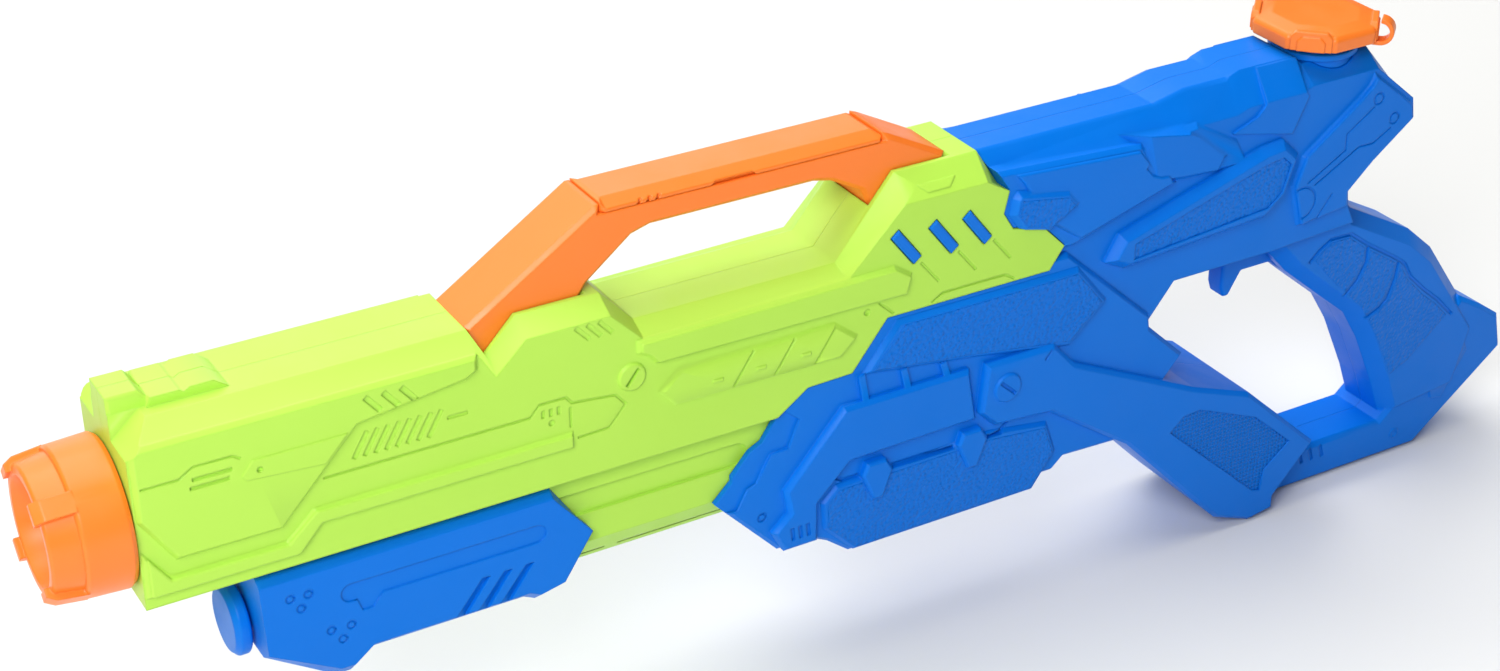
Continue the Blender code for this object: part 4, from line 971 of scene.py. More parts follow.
@dataclass
class RearHalf(Half):
    """Half of the blue rear shell."""

    family: str = "rear_shell"
    body: str = "shell"
    slot: str = "blue_abs"
    finish: MouldedPlastic = BLUE
    lower: Face = Face(21.5)
    beam: Face = Face(24.5)
    strip: Face = Face(23.3)
    plate: Face = Face(23.0)
    strut: Face = Face(25.0)
    pivot: Face = Face(26.0)
    chip: Face = Face(24.0)
    wedge: Face = Face(23.5)
    wing: Face = Face(21.5)
    tail: Face = Face(21.4)
    grip: Face = Face(15.0)
    stock: Face = Face(14.0)
    pivot_middle: Point = (345.0, -39.5)
    boss_middle: Point = (481.6, -1.4)
    boss_radius: float = 6.6
    body_ring: float = 1.5
    tail_ring: float = 2.2
    stock_ring: float = 1.9
    wedge_panel: Table = ((400.5, -3), (400.5, 3.4), (459.5, 20.6), (468.2, 22), (472.4, 18.2), (469.2, 7.2),
                          (463.2, 2.2))
    crown_level: float = 11.0
    crown_floor: float = 50.0
    crown_rear: float = 449.0
    crown_bevel: float = 2.2
    fin_foot: Table = ((394.6, 45.2), (429.3, 43.4), (433.4, 41.2), (454.3, 25.7), (441.3, 20.4), (400, 24))
    fin_top: Table = ((405, 44.6), (423, 41.1), (426.5, 39.5), (440, 28.5), (437.6, 23.7), (410, 26))
    fin_levels: Point = (15.0, 22.0)
    tail_plate: Table = ((482, 17.9), (506.3, 35.7), (511.4, 40.2), (513.2, 43.6), (532.8, 28.2),
                         (534.3, 21.9), (516.2, 8.2), (505, -2.2), (505.3, -8.4), (482.8, -11), (477.8, 6))
    tail_lines: tuple[Table, Table] = (((522.8, 20.8), (514.5, 16.1), (507.4, 16.2), (487, 5)),
                                       ((513.1, 31.6), (500.6, 23.1), (500.7, 16.4), (483.4, 6.6)))
    tail_lift: float = 1.0
    tail_edge: float = 0.8
    wing_plate: Table = ((346, 43.9), (400.4, 40.2), (405.4, 34), (404, 32.4), (407, 29), (411, 27.4),
                         (415, 27), (417, 23.6), (376, 11.6), (363, 20.4), (353, 24), (352, 36),
                         (349.4, 39.9))
    wing_lift: float = 1.2
    wing_edge: float = 1.0
    notch: Table = ((246, -18), (259.2, -28.6), (254.9, -39.2), (247.8, -39.6), (241.8, -49.8), (238.4, -51),
                    (234.4, -58.6), (220, -57), (238, -33))
    notch_depth: float = 1.3
    stock_plate: Table = ((573.6, -118), (570.2, -105.6), (572.8, -98.5), (578.4, -94.6), (588.6, -95),
                          (590.8, -99.4), (579.4, -119.4))
    stock_lift: float = 0.8
    pad: Table = ((424, -83.5), (430, -78), (438, -77.3), (467, -89.5), (486.5, -106.5), (474.5, -116.5),
                  (473.5, -125.5), (469.5, -124.5))
    pad_depth: float = 0.6
    grain_lift: float = 0.12

    def shape(self, piece: bpy.types.Object) -> None:
        """Bevel the edges of the receiver's flat top and add the faceted fin behind the wing.

        Args:
            piece: Copy of the half's solid.
        """
        crown = self.side.value * self.crown_level * MM
        floor, rear = at(self.crown_rear, 0, self.crown_floor).zx
        Bench.pick(piece, lambda spot: abs(spot.y - crown) < SAME and spot.z > floor and spot.x < rear)
        bpy.ops.mesh.bevel(offset=self.crown_bevel * MM, offset_type="WIDTH", segments=1, affect="EDGES")
        Bench.mode("OBJECT")
        low, high = [[at(x, level, z, self.side) for x, z in outline]
                     for level, outline in zip(self.fin_levels, (self.fin_foot, self.fin_top))]
        Bench.combine(piece, Bench.taper("fin", low, high), "UNION")

    def reliefs(self) -> Iterator[Relief]:
        """Draw the ribs, slots, rings, grooves and recesses of the blue half.

        Yields:
            Each mark.
        """
        yield from self.lower_body()
        yield from self.tail_end()
        yield from self.grip_and_stock()

    def lower_body(self) -> Iterator[Relief]:
        """Draw the marks of the lower body and the strut.

        Yields:
            Each mark.
        """
        staves = [((x, z), (x + 2.2, -29)) for x, z in ((283.4, -17.6), (301, -20), (317.8, -22.4))]
        yield from STAVE.along(self.lower, *staves)
        yield Relief(self.lower, self.notch, -self.notch_depth)
        yield from CHANNEL.slashes(self.beam, (0.6, -5.2), (254.8, -70.6), (258, -70.6), (261.2, -70.6))
        yield from GROOVE.rings(self.lower, self.body_ring, (244.2, -64.2))
        yield from CHANNEL.along(
            self.lower, [(272.6, -56.4), (277.4, -59.2), (284, -59.2)], [(297.9, -59.5), (324.3, -59.7)],
            [(338.6, -59.8), (345, -59.8), (348.6, -56.2)])
        x, z = self.pivot_middle
        yield from PIVOT_SLOT.along(self.pivot, [(x - 3.3, z + 3), (x + 3.3, z - 3)])
        yield from TICK.along(self.strut, [(361.6, -33), (364.6, -29.6)])
        yield Relief(self.strut, self.pad, -self.pad_depth)

    def tail_end(self) -> Iterator[Relief]:
        """Draw the marks of the tail behind the filler neck, the wing and the wedge.

        Yields:
            Each mark.
        """
        yield Relief(Face(self.tail.level - self.tail_lift), self.tail_plate, self.tail_lift, self.tail_edge)
        yield from SHALLOW_GROOVE.rings(self.tail, self.tail_ring, (514.8, 34.6))
        if self.side is Side.LEFT:    # a screw well takes this place on the right
            yield from SHALLOW_GROOVE.rings(self.tail, self.tail_ring, (524.1, 24.5))
            yield from SHALLOW_HAIRLINE.along(self.tail, self.tail_lines[0])
        yield from SHALLOW_HAIRLINE.along(self.tail, self.tail_lines[1])
        yield from SHALLOW_GROOVE.rings(self.tail, self.boss_radius, self.boss_middle)
        yield from SHALLOW_GROOVE.along(self.tail, [(496.6, -0.9), (489, -11)])
        yield Relief(self.wing, self.wing_plate, self.wing_lift, self.wing_edge)
        yield Relief(self.wedge, self.wedge_panel, -self.pad_depth)

    def grip_and_stock(self) -> Iterator[Relief]:
        """Draw the marks of the pistol grip and the stock.

        Yields:
            Each mark.
        """
        yield from CHANNEL.along(
            self.grip, [(525.6, -34), (525.8, -40.8), (522, -48.2), (516, -54)],
            [(543.6, -45.4), (542.8, -52.4), (540, -61.2), (536.4, -64.4), (527, -68.4)],
            [(495.4, -33.4), (500, -29), (505.4, -25.6), (516, -26), (525.6, -33), (543.6, -44.4),
             (547.6, -47.6), (551.6, -54.4), (560.6, -62.8), (569, -69.6), (578.4, -79)])
        yield Relief(self.stock, self.stock_plate, self.stock_lift)
        yield from STOCK_SLASH.slashes(self.stock, (1.8, -5.6), (503.6, -123.4), (509, -123.4),
                                       (514.6, -123.4))
        yield from RAISED_RING.rings(self.stock, self.stock_ring, (555.6, -130))

    def grains(self) -> Iterator[tuple[MouldedPlastic, Relief]]:
        """Lay out the pebbled panels and the hatched pad.

        Yields:
            Each panel's finish and outline.
        """
        panels = (
            (self.strip, [(300.5, -2), (375, -2), (387.2, -16.6), (373.6, -29.4), (331.4, -22.6),
                          (288, -16.9)]),
            (self.plate, [(270.4, -66.6), (275.2, -62), (340, -61.2), (364.8, -63.8), (369.2, -76),
                          (360.2, -88.4), (282.8, -88.4), (270.6, -76.6)]),
            (self.chip, [(347.8, 34.2), (368.2, 30.6), (371.8, 26.6), (360.8, 20.6), (350.8, 23.4),
                         (346.6, 29)]),
            (Face(self.wedge.level - self.pad_depth), self.wedge_panel),
            (self.grip, [(498.4, -33.4), (501.6, -30.2), (506, -27.2), (515.2, -27.4), (524.4, -34.2),
                         (524.4, -40.4), (520.6, -47.4), (516.6, -51.4), (512.6, -48.6)]),
            (self.grip, [(527.2, -36), (542, -45.4), (541.2, -52), (538.6, -60.2), (535.4, -63.2),
                         (529.6, -65.8), (526.6, -61.6), (518.8, -54), (523.4, -49), (527.2, -41)]),
            (self.grip, [(545.4, -47.6), (550, -55.2), (559.4, -64.4), (568, -71.2), (575, -78.4),
                         (556.4, -94.4), (547.4, -98.6), (538, -80), (531.4, -68.4), (537.2, -65.4),
                         (541.4, -61.8), (544, -53.4)]))
        for face, outline in panels:
            yield BLUE_PEBBLE, Relief(face, outline, self.grain_lift)
        yield BLUE_HATCH, Relief(Face(self.strut.level - self.pad_depth), self.pad, self.grain_lift)


@dataclass
class GripHalf(Half):
    """Half of the blue sliding pump grip."""

    family: str = "pump_grip"
    body: str = "pump"
    slot: str = "blue_abs"
    finish: MouldedPlastic = BLUE
    flank: Face = Face(22.0)
    pill_ends: Point = (91.5, 157.5)
    pill_top: float = -38.2
    pill_floor: float = -45.0
    pill_depth: float = 0.6
    pill_steps: int = 9
    notch_floor: float = -49.6
    dots: Table = ((71.4, -37), (77.5, -37.1), (74.7, -41.7), (83.9, -53.5), (90.8, -53.7), (87.6, -58.1))
    dot_radius: float = 1.3

    def reliefs(self) -> Iterator[Relief]:
        """Draw the sunk pill with its notch, and the small rings.

        Yields:
            Each mark.
        """
        radius = (self.pill_top - self.pill_floor) / 2
        middle = self.pill_floor + radius
        bends = [math.pi * (0.5 - i / self.pill_steps) for i in range(self.pill_steps + 1)]
        front, rear = [[(end + way * math.cos(bend), middle + radius * math.sin(bend)) for bend in bends]
                       for end, way in zip(self.pill_ends, (-radius, radius))]
        notch = [(93.4, self.pill_floor), (95, self.notch_floor), (98.8, self.notch_floor),
                 (102.4, self.pill_floor)]
        yield Relief(self.flank, [*front, *notch, *reversed(rear)], -self.pill_depth)
        yield from SHALLOW_HAIRLINE.rings(self.flank, self.dot_radius, *self.dots)


@dataclass
class Muzzle:
    """The orange collar with its four lugs, and the jet in its mouth."""

    front_radius: float = 20.5
    lip: float = 2.4
    lip_chamfer: float = 0.8
    cone: float = 3.0
    cone_depth: float = 5.0
    mouth: float = 12.4
    web: float = 16.0
    web_thick: float = 3.0
    jet_hole: float = 6.3
    spigot: float = 15.0
    flange: float = 17.5
    flange_front: float = 28.7
    flange_thick: float = 2.5
    skirt: float = 22.6
    band_radius: float = 25.0
    band_front: float = 9.5
    band_rear: float = 25.5
    band_draft: float = 0.6
    front_chamfer: Point = (0.8, 1.0)
    rear_chamfer: Point = (1.0, 1.5)
    collar_edge: float = 0.5
    # Points of (radius, distance behind the web).
    jet: Table = ((1.5, -6), (1.5, 28), (2.25, 28), (2.95, 22), (4.5, 22), (4.5, 6), (8, 6), (8, 3.3),
                  (6, 3.3), (6, -2), (4, -6))
    jet_edge: float = 0.25
    jet_steps: int = 48
    lug_reach: float = 2.0
    lug_root: float = 1.8
    lug_rises: Point = (1.0, 2.8)
    lug_bend: float = 1.0
    lug_lap: float = 1.2
    lug_width: float = 7.0
    lug_count: int = 4

    def build(self) -> None:
        """Turn the collar, add its lugs, and turn the jet."""
        collar = Bench.turn("muzzle_collar_moulded", at(0, 0, 0), ALONG, self.collar_profile())
        Bench.combine(collar, self.lugs(), "UNION")
        Bench.soften(collar, self.collar_edge, segments=3)
        Bench.dress(collar, "shell", "orange_abs", ORANGE, "muzzle_collar")
        jet = Bench.turn("nozzle_jet_moulded", at(self.web, 0, 0), ALONG, self.jet, self.jet_steps)
        Bench.soften(jet, self.jet_edge)
        Bench.dress(jet, "shell", "orange_abs", ORANGE, "nozzle_jet")

    def collar_profile(self) -> list[Point]:
        """Draw the collar's section, from its mouth over the web and the flange to the outer band.

        Returns:
            Points of (radius, distance behind the front edge), mm.
        """
        inner = self.front_radius - self.lip
        web_back = self.web + self.web_thick
        flange_back = self.flange_front + self.flange_thick
        front = self.band_radius - self.band_draft
        front_in, front_run = self.front_chamfer
        rear_in, rear_run = self.rear_chamfer
        return [
            (self.front_radius, 0), (inner, 0), (inner - self.cone, self.cone_depth), (self.mouth, self.web),
            (self.jet_hole, self.web), (self.jet_hole, web_back), (self.mouth, web_back),
            (self.mouth, flange_back), (self.flange, flange_back), (self.flange, self.flange_front),
            (self.spigot, self.flange_front), (self.spigot, self.band_rear),
            (self.band_radius - rear_in, self.band_rear), (self.band_radius, self.band_rear - rear_run),
            (front, self.band_front + front_run), (front - front_in, self.band_front),
            (self.skirt, self.band_front), (self.front_radius + self.lip_chamfer, self.lip_chamfer)]

    def lugs(self) -> bpy.types.Object:
        """Extrude a lug four times and turn each to its place.

        Returns:
            One mesh with all lugs.
        """
        radius = self.front_radius
        root, back = radius - self.lug_root, self.band_front + self.lug_lap
        tip_rise, bend_rise = self.lug_rises
        outline = [(-self.lug_reach, root), (-self.lug_reach, radius + tip_rise),
                   (self.lug_bend, radius + bend_rise), (back, self.band_radius - self.band_draft),
                   (back, radius), (self.lug_lap, root)]
        piece = Bench.blank("lugs")
        for i in range(self.lug_count):
            Bench.prism(outline, self.lug_width / 2, -self.lug_width)
            bpy.ops.transform.rotate(value=math.tau * (i + 0.5) / self.lug_count, orient_axis="X",
                                     center_override=at(0, 0, 0))
        return Bench.close(piece)


@dataclass
class PumpRod:
    """The pump's rod with the round end that shows ahead of the grip."""

    axis_height: float = -53.0
    knob_front: float = 55.7
    knob_thick: float = 5.5
    knob_radius: float = 12.4
    knob_chamfers: Point = (1.8, 0.8)
    rod_radius: float = 4.5
    flange_front: float = 70.8
    flange_thick: float = 3.0
    flange_radius: float = 7.0
    piston_front: float = 128.0
    piston_gap: float = 0.3
    spigot_radius: float = 2.5
    spigot_reach: float = 6.0
    edge: float = 0.35
    steps: int = 72

    def build(self) -> None:
        """Turn the rod in one piece with its knob and flange."""
        front_chamfer, back_chamfer = self.knob_chamfers
        knob_back = self.knob_front + self.knob_thick
        flange_back = self.flange_front + self.flange_thick
        shoulder, end = self.piston_front - self.piston_gap, self.piston_front + self.spigot_reach
        profile = [
            (0, self.knob_front), (self.knob_radius - front_chamfer, self.knob_front),
            (self.knob_radius, self.knob_front + front_chamfer), (self.knob_radius, knob_back - back_chamfer),
            (self.knob_radius - back_chamfer, knob_back), (self.rod_radius, knob_back),
            (self.rod_radius, self.flange_front), (self.flange_radius, self.flange_front),
            (self.flange_radius, flange_back), (self.rod_radius, flange_back), (self.rod_radius, shoulder),
            (self.spigot_radius, shoulder), (self.spigot_radius, end), (0, end)]
        rod = Bench.turn("pump_rod_moulded", at(0, 0, self.axis_height), ALONG, profile, self.steps)
        Bench.soften(rod, self.edge)
        Bench.dress(rod, "pump", "blue_abs", BLUE, "pump_rod")


@dataclass
class CarryHandle:
    """The orange carrying handle and the cover on top of it."""

    side_level: float = 12.0
    edge: float = 1.3
    cover_edge: float = 2.2
    cover_edge_angle: float = 15.0
    shoulder: float = 1.5
    cover_pull: float = 3.0
    cover_drop: float = 1.0
    short_edge: float = 0.5
    notch_level: float = 11.1
    notch_reach: float = 3.0
    slash_fronts: tuple[float, ...] = (203.0, 206.4, 209.8)
    slash_heights: Point = (64.2, 65.9)
    slash_lean: float = 1.6
    slash_width: float = 1.0
    thumb_notch: Table = ((230, 64), (231.6, 65.4), (246, 65.4), (247.6, 64))

    def build(self) -> None:
        """Round the handle and its cover, and notch the cover's sides."""
        handle = Bench.copy_node("carry_handle")
        Bench.soften(handle, self.edge, segments=3)
        Bench.dress(handle, "shell", "orange_abs", ORANGE, "carry_handle")
        cover = Bench.copy_node("handle_top_cover")
        self.lay_shoulders(cover)
        Bench.soften(cover, self.cover_edge, segments=4, angle=self.cover_edge_angle)
        Bench.combine(cover, self.notches(), "DIFFERENCE")
        Bench.dress(cover, "shell", "orange_abs", ORANGE, "handle_top_cover")

    def lay_shoulders(self, cover: bpy.types.Object) -> None:
        """Widen the slopes along the cover's top, so that they can be rounded.

        Args:
            cover: Copy of the cover's solid.
        """
        Bench.edit(cover)
        bpy.ops.mesh.remove_doubles(threshold=self.short_edge * MM)
        Bench.mode("OBJECT")
        crest = max(vertex.co.z for vertex in cover.data.vertices) - self.short_edge * MM
        foot = crest - self.shoulder * MM
        rim = (self.side_level - self.short_edge) * MM
        Bench.shift(cover, -UP * self.cover_drop, lambda spot: abs(spot.y) > rim and spot.z > foot)
        for side in Side:
            Bench.shift(cover, ACROSS * -side.value * self.cover_pull,
                        lambda spot: spot.y * side.value > 0 and spot.z > crest)

    def notches(self) -> bpy.types.Object:
        """Draw the cover's notches on both sides.

        Returns:
            One mesh to cut with.
        """
        low, high = self.slash_heights
        marks = [stroke([(x, low), (x + self.slash_lean, high)], self.slash_width) for x in self.slash_fronts]
        piece = Bench.blank("notches")
        for side in Side:
            for mark in (*marks, self.thumb_notch):
                Bench.prism(mark, self.notch_level, self.notch_reach, side)
        return Bench.close(piece)


@dataclass
class Filler:
    """The filler neck with its thread, the eight-sided screw cap and the cap's tether."""

    neck_x: float = 498.0
    neck_radius: float = 15.0
    neck_bore: float = 12.0
    neck_top: float = 62.0
    neck_foot: float = 44.3
    neck_chamfer: float = 0.6
    deck: float = 52.3
    flange_radius: float = 16.8
    flange_thick: float = 3.0
    small_edge: float = 0.3
    thread_root: float = 0.3
    thread_height: float = 0.9
    thread_foot: float = 0.9
    thread_crest: float = 0.35
    thread_top: float = 0.8
    thread_pitch: float = 3.0
    thread_turns: float = 1.1
    thread_steps: int = 72
    cap_sides: int = 8
    cap_apothem: float = 22.4
    cap_skirt: float = 58.5
    cap_wall: float = 3.0
    cap_bore: float = 16.5
    cap_clear: float = 0.2
    cap_raise: float = 1.0
    crest_depth: float = 0.2
    crest_drop: float = 0.2
    cap_edge: float = 0.6
    cap_edge_angle: float = 15.0
    tether_gap: float = 0.3
    tether_play: float = 0.5
    tether_width: float = 3.0
    strap_thick: float = 1.6
    strap_width: float = 6.0
    strap_rim: float = 24.4
    strap_bend: float = 5.2
    strap_steps: int = 12
    strap_turn: float = 50.0
    arch_sizes: tuple[tuple[float, float, float], ...] = ((15.4, 7.8, 0.7), (10.4, 6.2, 1.3))
    arch_foot: float = 0.3
    arch_corner: float = 2.0
    arch_root: float = 2.0
    arch_edge: float = 0.35

    def build(self) -> None:
        """Turn the neck and its thread, round the cap and add its arches, and round the tether."""
        neck = Bench.turn("filler_neck_moulded", at(self.neck_x, 0, 0), UP, self.neck_profile())
        Bench.soften(neck, self.small_edge)
        Bench.dress(neck, "shell", "blue_abs", BLUE, "filler_neck")
        Bench.dress(self.thread(), "shell", "blue_abs", BLUE)
        cap = Bench.copy_node("filler_cap")
        middle = at(self.neck_x, 0, self.cap_skirt)
        floor, room = middle.z + self.cap_wall * MM, (self.cap_bore + self.cap_clear) * MM
        Bench.shift(cap, UP * self.cap_raise,
                    lambda spot: spot.z > floor and (spot - middle).xy.length > room)
        crest = max(vertex.co.z for vertex in cap.data.vertices) - self.crest_depth * MM
        Bench.shift(cap, -UP * self.crest_drop, lambda spot: spot.z > crest)
        Bench.soften(cap, self.cap_edge, segments=3, angle=self.cap_edge_angle)
        Bench.combine(cap, self.arches(), "UNION")
        Bench.dress(cap, "cap", "orange_abs", ORANGE, "filler_cap")
        tether = self.tether()
        Bench.soften(tether, self.small_edge)
        Bench.dress(tether, "tether", "orange_abs", ORANGE, "cap_tether")

    def neck_profile(self) -> list[Point]:
        """Draw the neck's section, with its mouth, its flange on the deck and its foot in the tank.

        Returns:
            Points of (radius, height), mm.
        """
        shoulder = self.deck + self.flange_thick
        return [(self.neck_bore, self.neck_top), (self.neck_radius - self.neck_chamfer, self.neck_top),
                (self.neck_radius, self.neck_top - self.neck_chamfer), (self.neck_radius, shoulder),
                (self.flange_radius, shoulder - self.neck_chamfer), (self.flange_radius, self.deck),
                (self.neck_radius, self.deck), (self.neck_radius, self.neck_foot),
                (self.neck_bore, self.neck_foot)]

    def tether(self) -> bpy.types.Object:
        """Turn the tether's ring and curl its strap up to the cap's rim.

        Returns:
            The tether.
        """
        top = self.cap_skirt - self.tether_gap
        floor = top - self.strap_thick
        bore = self.neck_radius + self.tether_play
        rim = bore + self.tether_width
        piece = Bench.turn("cap_tether_moulded", at(self.neck_x, 0, 0), UP,
                           [(bore, top), (rim, top), (rim, floor), (bore, floor)])
        strap = Bench.blank("strap")
        bends = [math.pi * i / self.strap_steps for i in range(self.strap_steps + 1)]
        reach, root = self.neck_x + self.strap_rim, self.neck_x + (bore + rim) / 2
        radii = (self.strap_bend, self.strap_bend - self.strap_thick)
        outer, inner = [[(reach + radius * math.sin(bend), floor + self.strap_bend - radius * math.cos(bend))
                         for bend in bends] for radius in radii]
        Bench.prism([(root, floor), *outer, *reversed(inner), (root, top)], self.strap_width / 2,
                    -self.strap_width)
        Bench.edit(Bench.close(strap))
        bpy.ops.transform.rotate(value=math.radians(self.strap_turn), orient_axis="Z",
                                 center_override=at(self.neck_x, 0, 0))
        Bench.mode("OBJECT")
        Bench.combine(piece, strap, "UNION")
        return piece

    def thread(self) -> bpy.types.Object:
        """Wind the neck's thread.

        Returns:
            The thread, a ridge that starts inside the neck's wall.
        """
        piece = Bench.blank("filler_neck_thread")
        rise = self.thread_pitch * self.thread_turns
        root, tip = self.neck_radius - self.thread_root, self.neck_radius + self.thread_height
        section = [(root, -self.thread_foot), (tip, -self.thread_crest), (tip, self.thread_crest),
                   (root, self.thread_foot)]
        Bench.walk([(ALONG * radius + UP * run) * MM for radius, run in section])
        bpy.ops.mesh.edge_face_add()
        start = at(self.neck_x, 0, self.neck_top - self.thread_top - rise)
        return Bench.wind(piece, "Z", self.thread_turns, rise * MM, self.thread_steps, start)

    def arches(self) -> bpy.types.Object:
        """Extrude two arched plates on every second side of the cap.

        Returns:
            One mesh with all plates.
        """
        piece = Bench.blank("arches")
        foot = self.cap_skirt + self.arch_foot
        for width, height, proud in self.arch_sizes:
            left, right = self.neck_x - width / 2, self.neck_x + width / 2
            top, corner = self.cap_skirt + height, self.arch_corner
            outline = [(left, foot), (left, top - corner), (left + corner, top), (right - corner, top),
                       (right, top - corner), (right, foot)]
            for i in range(self.cap_sides // 2):
                Bench.prism(outline, self.cap_apothem - self.arch_root, self.arch_root + proud)
                bpy.ops.transform.rotate(value=math.tau * (2 * i + 1) / self.cap_sides, orient_axis="Z",
                                         center_override=at(self.neck_x, 0, self.cap_skirt))
        Bench.close(piece)
        Bench.soften(piece, self.arch_edge)
        return piece


@dataclass
class TriggerHook:
    """The trigger, whose moulded edges are rounded for a finger."""

    edge: float = 0.9

    def build(self) -> None:
        """Round the trigger."""
        piece = Bench.copy_node("trigger")
        Bench.soften(piece, self.edge, segments=3)
        Bench.dress(piece, "trigger", "blue_abs", BLUE, "trigger")


@dataclass
class TriggerSpring:
    """The trigger's return spring, with one end on the shell and the other on the trigger."""

    node: str = "trigger_spring"
    wire: float = 0.45
    coil: float = 3.6
    turns: int = 5
    sides: int = 12
    steps: int = 28
    shade_angle: float = 40.0

    def build(self) -> None:
        """Wind the wire where the spring's solid stands, and hide the solid."""
        low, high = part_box(self.node)
        middle = (low + high) / 2
        length = high.x - low.x - 2 * self.wire * MM
        piece = Bench.blank("trigger_spring_wound")
        points = [(UP * (self.coil + z) + ALONG * x) * MM for x, z in disc((0, 0), self.wire, self.sides)]
        Bench.walk([*points, points[0]])
        bpy.ops.mesh.remove_doubles(threshold=MERGE)
        start = Vector((low.x + self.wire * MM, middle.y, middle.z))
        Bench.wind(piece, "X", self.turns, length, self.steps * self.turns, start)
        Bench.coat(piece, STEEL, self.shade_angle)
        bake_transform(piece)
        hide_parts(self.node)
        LOG.info("piece %s between shell and trigger, %d faces", piece.name, len(piece.data.polygons))


@dataclass
class Fasteners:
    """The pan-head screws, all driven from the right side."""

    well: ClassVar[float] = 3.3
    length: float = 16.3
    head_radius: float = 2.7
    head_height: float = 2.0
    # Points of (share of the head's radius, drop below its top).
    dome: Table = ((0, 0), (0.6, 0.15), (0.88, 0.7), (1, 1.5))
    shank_radius: float = 1.4
    tip_height: float = 1.0
    steps: int = 32
    recess_share: float = 0.62
    recess_width: float = 0.9
    recess_depth: float = 1.1
    recess_cut: float = 3.0

    @staticmethod
    def spots(prefix: str) -> list[Point]:
        """List the side-view places of the screws of one family.

        Args:
            prefix: Start of their names.

        Returns:
            Their places, mm.
        """
        places = []
        for name in sorted(frame["nodes"]):
            if name.startswith(prefix):
                low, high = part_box(name)
                middle = ((low + high) / 2 - ORIGIN) / MM
                places.append((middle.x, middle.z))
        return places

    def pattern(self) -> bpy.types.Object:
        """Model one screw at the origin, with its tip down.

        Returns:
            The screw, with a cross recess in its head.
        """
        seat = self.length - self.head_height
        dome = [(self.head_radius * share, self.length - drop) for share, drop in self.dome]
        profile = [*dome, (self.head_radius, seat), (self.shank_radius, seat),
                   (self.shank_radius, self.tip_height), (0, 0)]
        screw = Bench.turn("screw_pattern", Vector(), UP, profile, self.steps)
        tool = Bench.blank("cross")
        floor = UP * (self.length - self.recess_depth)
        for way in (ALONG, ACROSS):
            across = way.cross(UP) * self.recess_width / 2
            reach = way * self.head_radius * self.recess_share
            corners = (reach + across, reach - across, -reach - across, across - reach)
            Bench.extrude_outline([(corner + floor) * MM for corner in corners], UP * self.recess_cut * MM)
        Bench.combine(screw, Bench.close(tool), "DIFFERENCE")
        return screw

    def build(self) -> None:
        """Copy the screw to every place and dress the copies."""
        pattern = self.pattern()
        Bench.edit(pattern)
        bpy.ops.transform.rotate(value=math.pi / 2, orient_axis="X", center_override=(0, 0, 0))
        Bench.mode("OBJECT")
        heads_right = max(corner[1] for corner in pattern.bound_box) > self.length * MM / 2
        for name in [name for name in sorted(frame["nodes"]) if "_screw_" in name]:
            low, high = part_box(name)
            middle = (low + high) / 2
            screw = pattern.copy()
            screw.data = pattern.data.copy()
            screw.name = f"{name}_driven"
            screw.data.name = screw.name
            bpy.context.scene.collection.objects.link(screw)
            tip = Vector((middle.x, low.y if heads_right else high.y, middle.z))
            Bench.shift(screw, tip / MM, lambda spot: True)
            Bench.dress(screw, "pump" if name.startswith("grip") else "shell", "zinc_steel", STEEL, name)
        bpy.data.objects.remove(pattern)


class Carried:
    """CAD nodes whose shape stays and whose finish changes."""

    def build(self) -> None:
        """Give every node the finish of its slot."""
        for node in frame["nodes"].values():
            slot = node.data.materials[0].name.split(".")[0]
            node.data.materials[0] = SLOT_FINISH[slot].material()


@dataclass(frozen=True)
class Softbox:
    """A square soft light that faces the object."""

    name: str
    place: tuple[float, float, float]
    size: float
    power: float

    def hang(self) -> None:
        """Hang the light."""
        data = bpy.data.lights.new(self.name, "AREA")
        data.size = self.size
        data.energy = self.power
        light = bpy.data.objects.new(self.name, data)
        bpy.context.scene.collection.objects.link(light)
        light.location = self.place
        middle = (CAD_BOX[0] + CAD_BOX[1]) / 2
        light.rotation_euler = (middle - light.location).to_track_quat("-Z", "Y").to_euler()


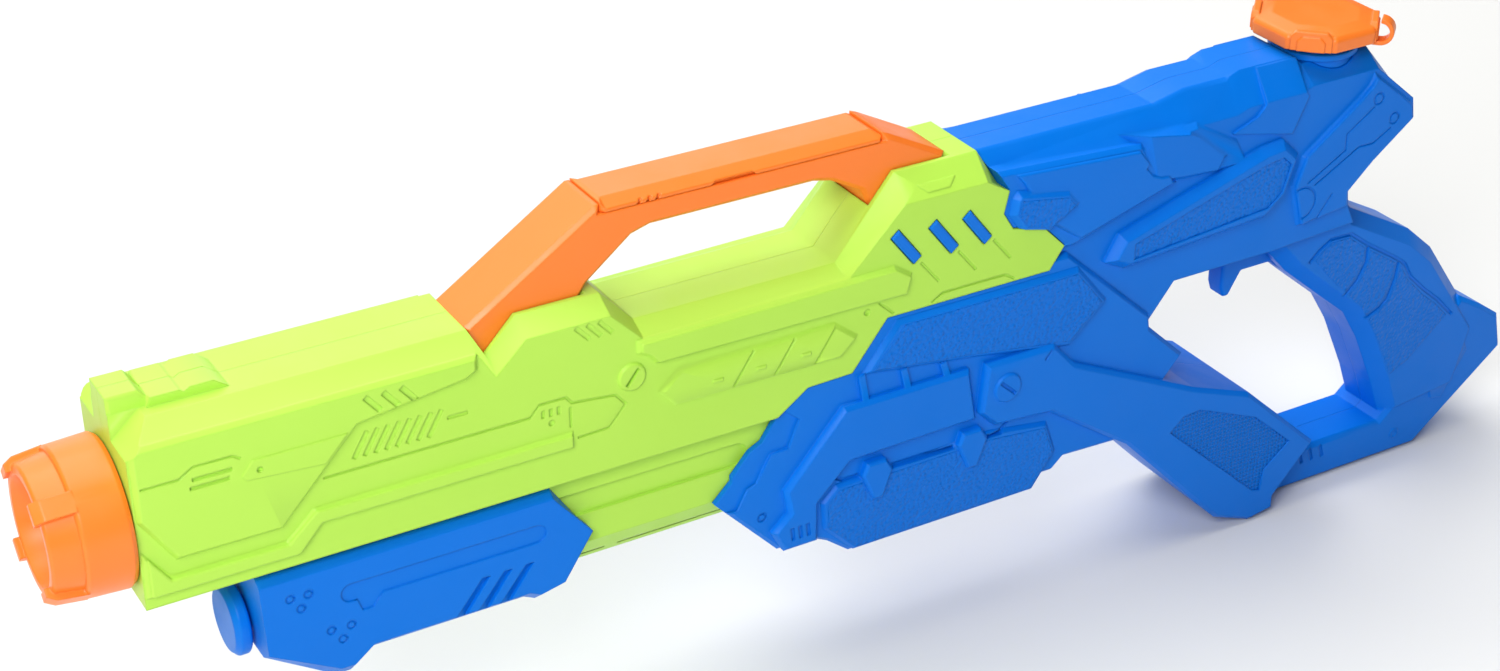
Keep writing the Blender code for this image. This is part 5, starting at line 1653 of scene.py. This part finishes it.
@dataclass
class Studio:
    """Pale floor, soft lights and the camera."""

    floor_size: float = 14.0
    floor_gap: float = 0.0005
    camera_spot: tuple[float, float, float] = (-137.06, 663.07, 428.39)
    camera_way: tuple[float, float, float] = (0.441, 0.752, -0.490)
    lens: float = 61.2
    clip_start: float = 0.01
    air: float = 0.1
    sky: float = 2.5
    sky_angle: float = 60.0
    sky_tilt: Point = (-12.0, -8.0)
    softboxes: tuple[Softbox, ...] = (Softbox("front_light", (-0.72, -0.7, 0.85), 0.5, 10.8),
                                      Softbox("back_light", (0.1, 1.3, 0.95), 1.8, 14.0))

    def build(self) -> None:
        """Build the floor, the lights and the camera."""
        Bench.clear()
        bpy.ops.mesh.primitive_plane_add(size=self.floor_size, location=(0, 0, CAD_BOX[0].z - self.floor_gap))
        floor = bpy.context.object
        floor.name = "studio_floor"
        floor.data.materials.append(PAPER.material())
        self.light()
        camera = bpy.data.objects.new("camera", bpy.data.cameras.new("camera"))
        bpy.context.scene.collection.objects.link(camera)
        camera.data.lens = self.lens
        camera.data.clip_start = self.clip_start
        camera.location = at(*self.camera_spot)
        camera.rotation_euler = Vector(self.camera_way).to_track_quat("-Z", "Y").to_euler()
        bpy.context.scene.camera = camera
        bpy.context.scene.view_settings.view_transform = "Standard"

    def light(self) -> None:
        """Fill the air with a little light, hang the softboxes and open a wide sky."""
        world = bpy.data.worlds.new("studio_air")
        bpy.context.scene.world = world
        world.use_nodes = True
        background = world.node_tree.nodes["Background"]
        background.inputs["Color"].default_value = (1.0, 1.0, 1.0, 1.0)
        background.inputs["Strength"].default_value = self.air
        for softbox in self.softboxes:
            softbox.hang()
        sky = bpy.data.objects.new("sky_light", bpy.data.lights.new("sky_light", "SUN"))
        sky.data.energy = self.sky
        sky.data.angle = math.radians(self.sky_angle)
        sky.rotation_euler = (*[math.radians(tilt) for tilt in self.sky_tilt], 0)
        bpy.context.scene.collection.objects.link(sky)


def main() -> None:
    """Build every sub-assembly."""
    logging.basicConfig(level=logging.INFO)
    Studio().build()
    Carried().build()
    for side in Side:
        for half in (FrontHalf(side), RearHalf(side), GripHalf(side)):
            half.build()
    for kind in (Muzzle, PumpRod, CarryHandle, Filler, TriggerHook, TriggerSpring, Fasteners):
        kind().build()


if __name__ == "__main__":
    main()
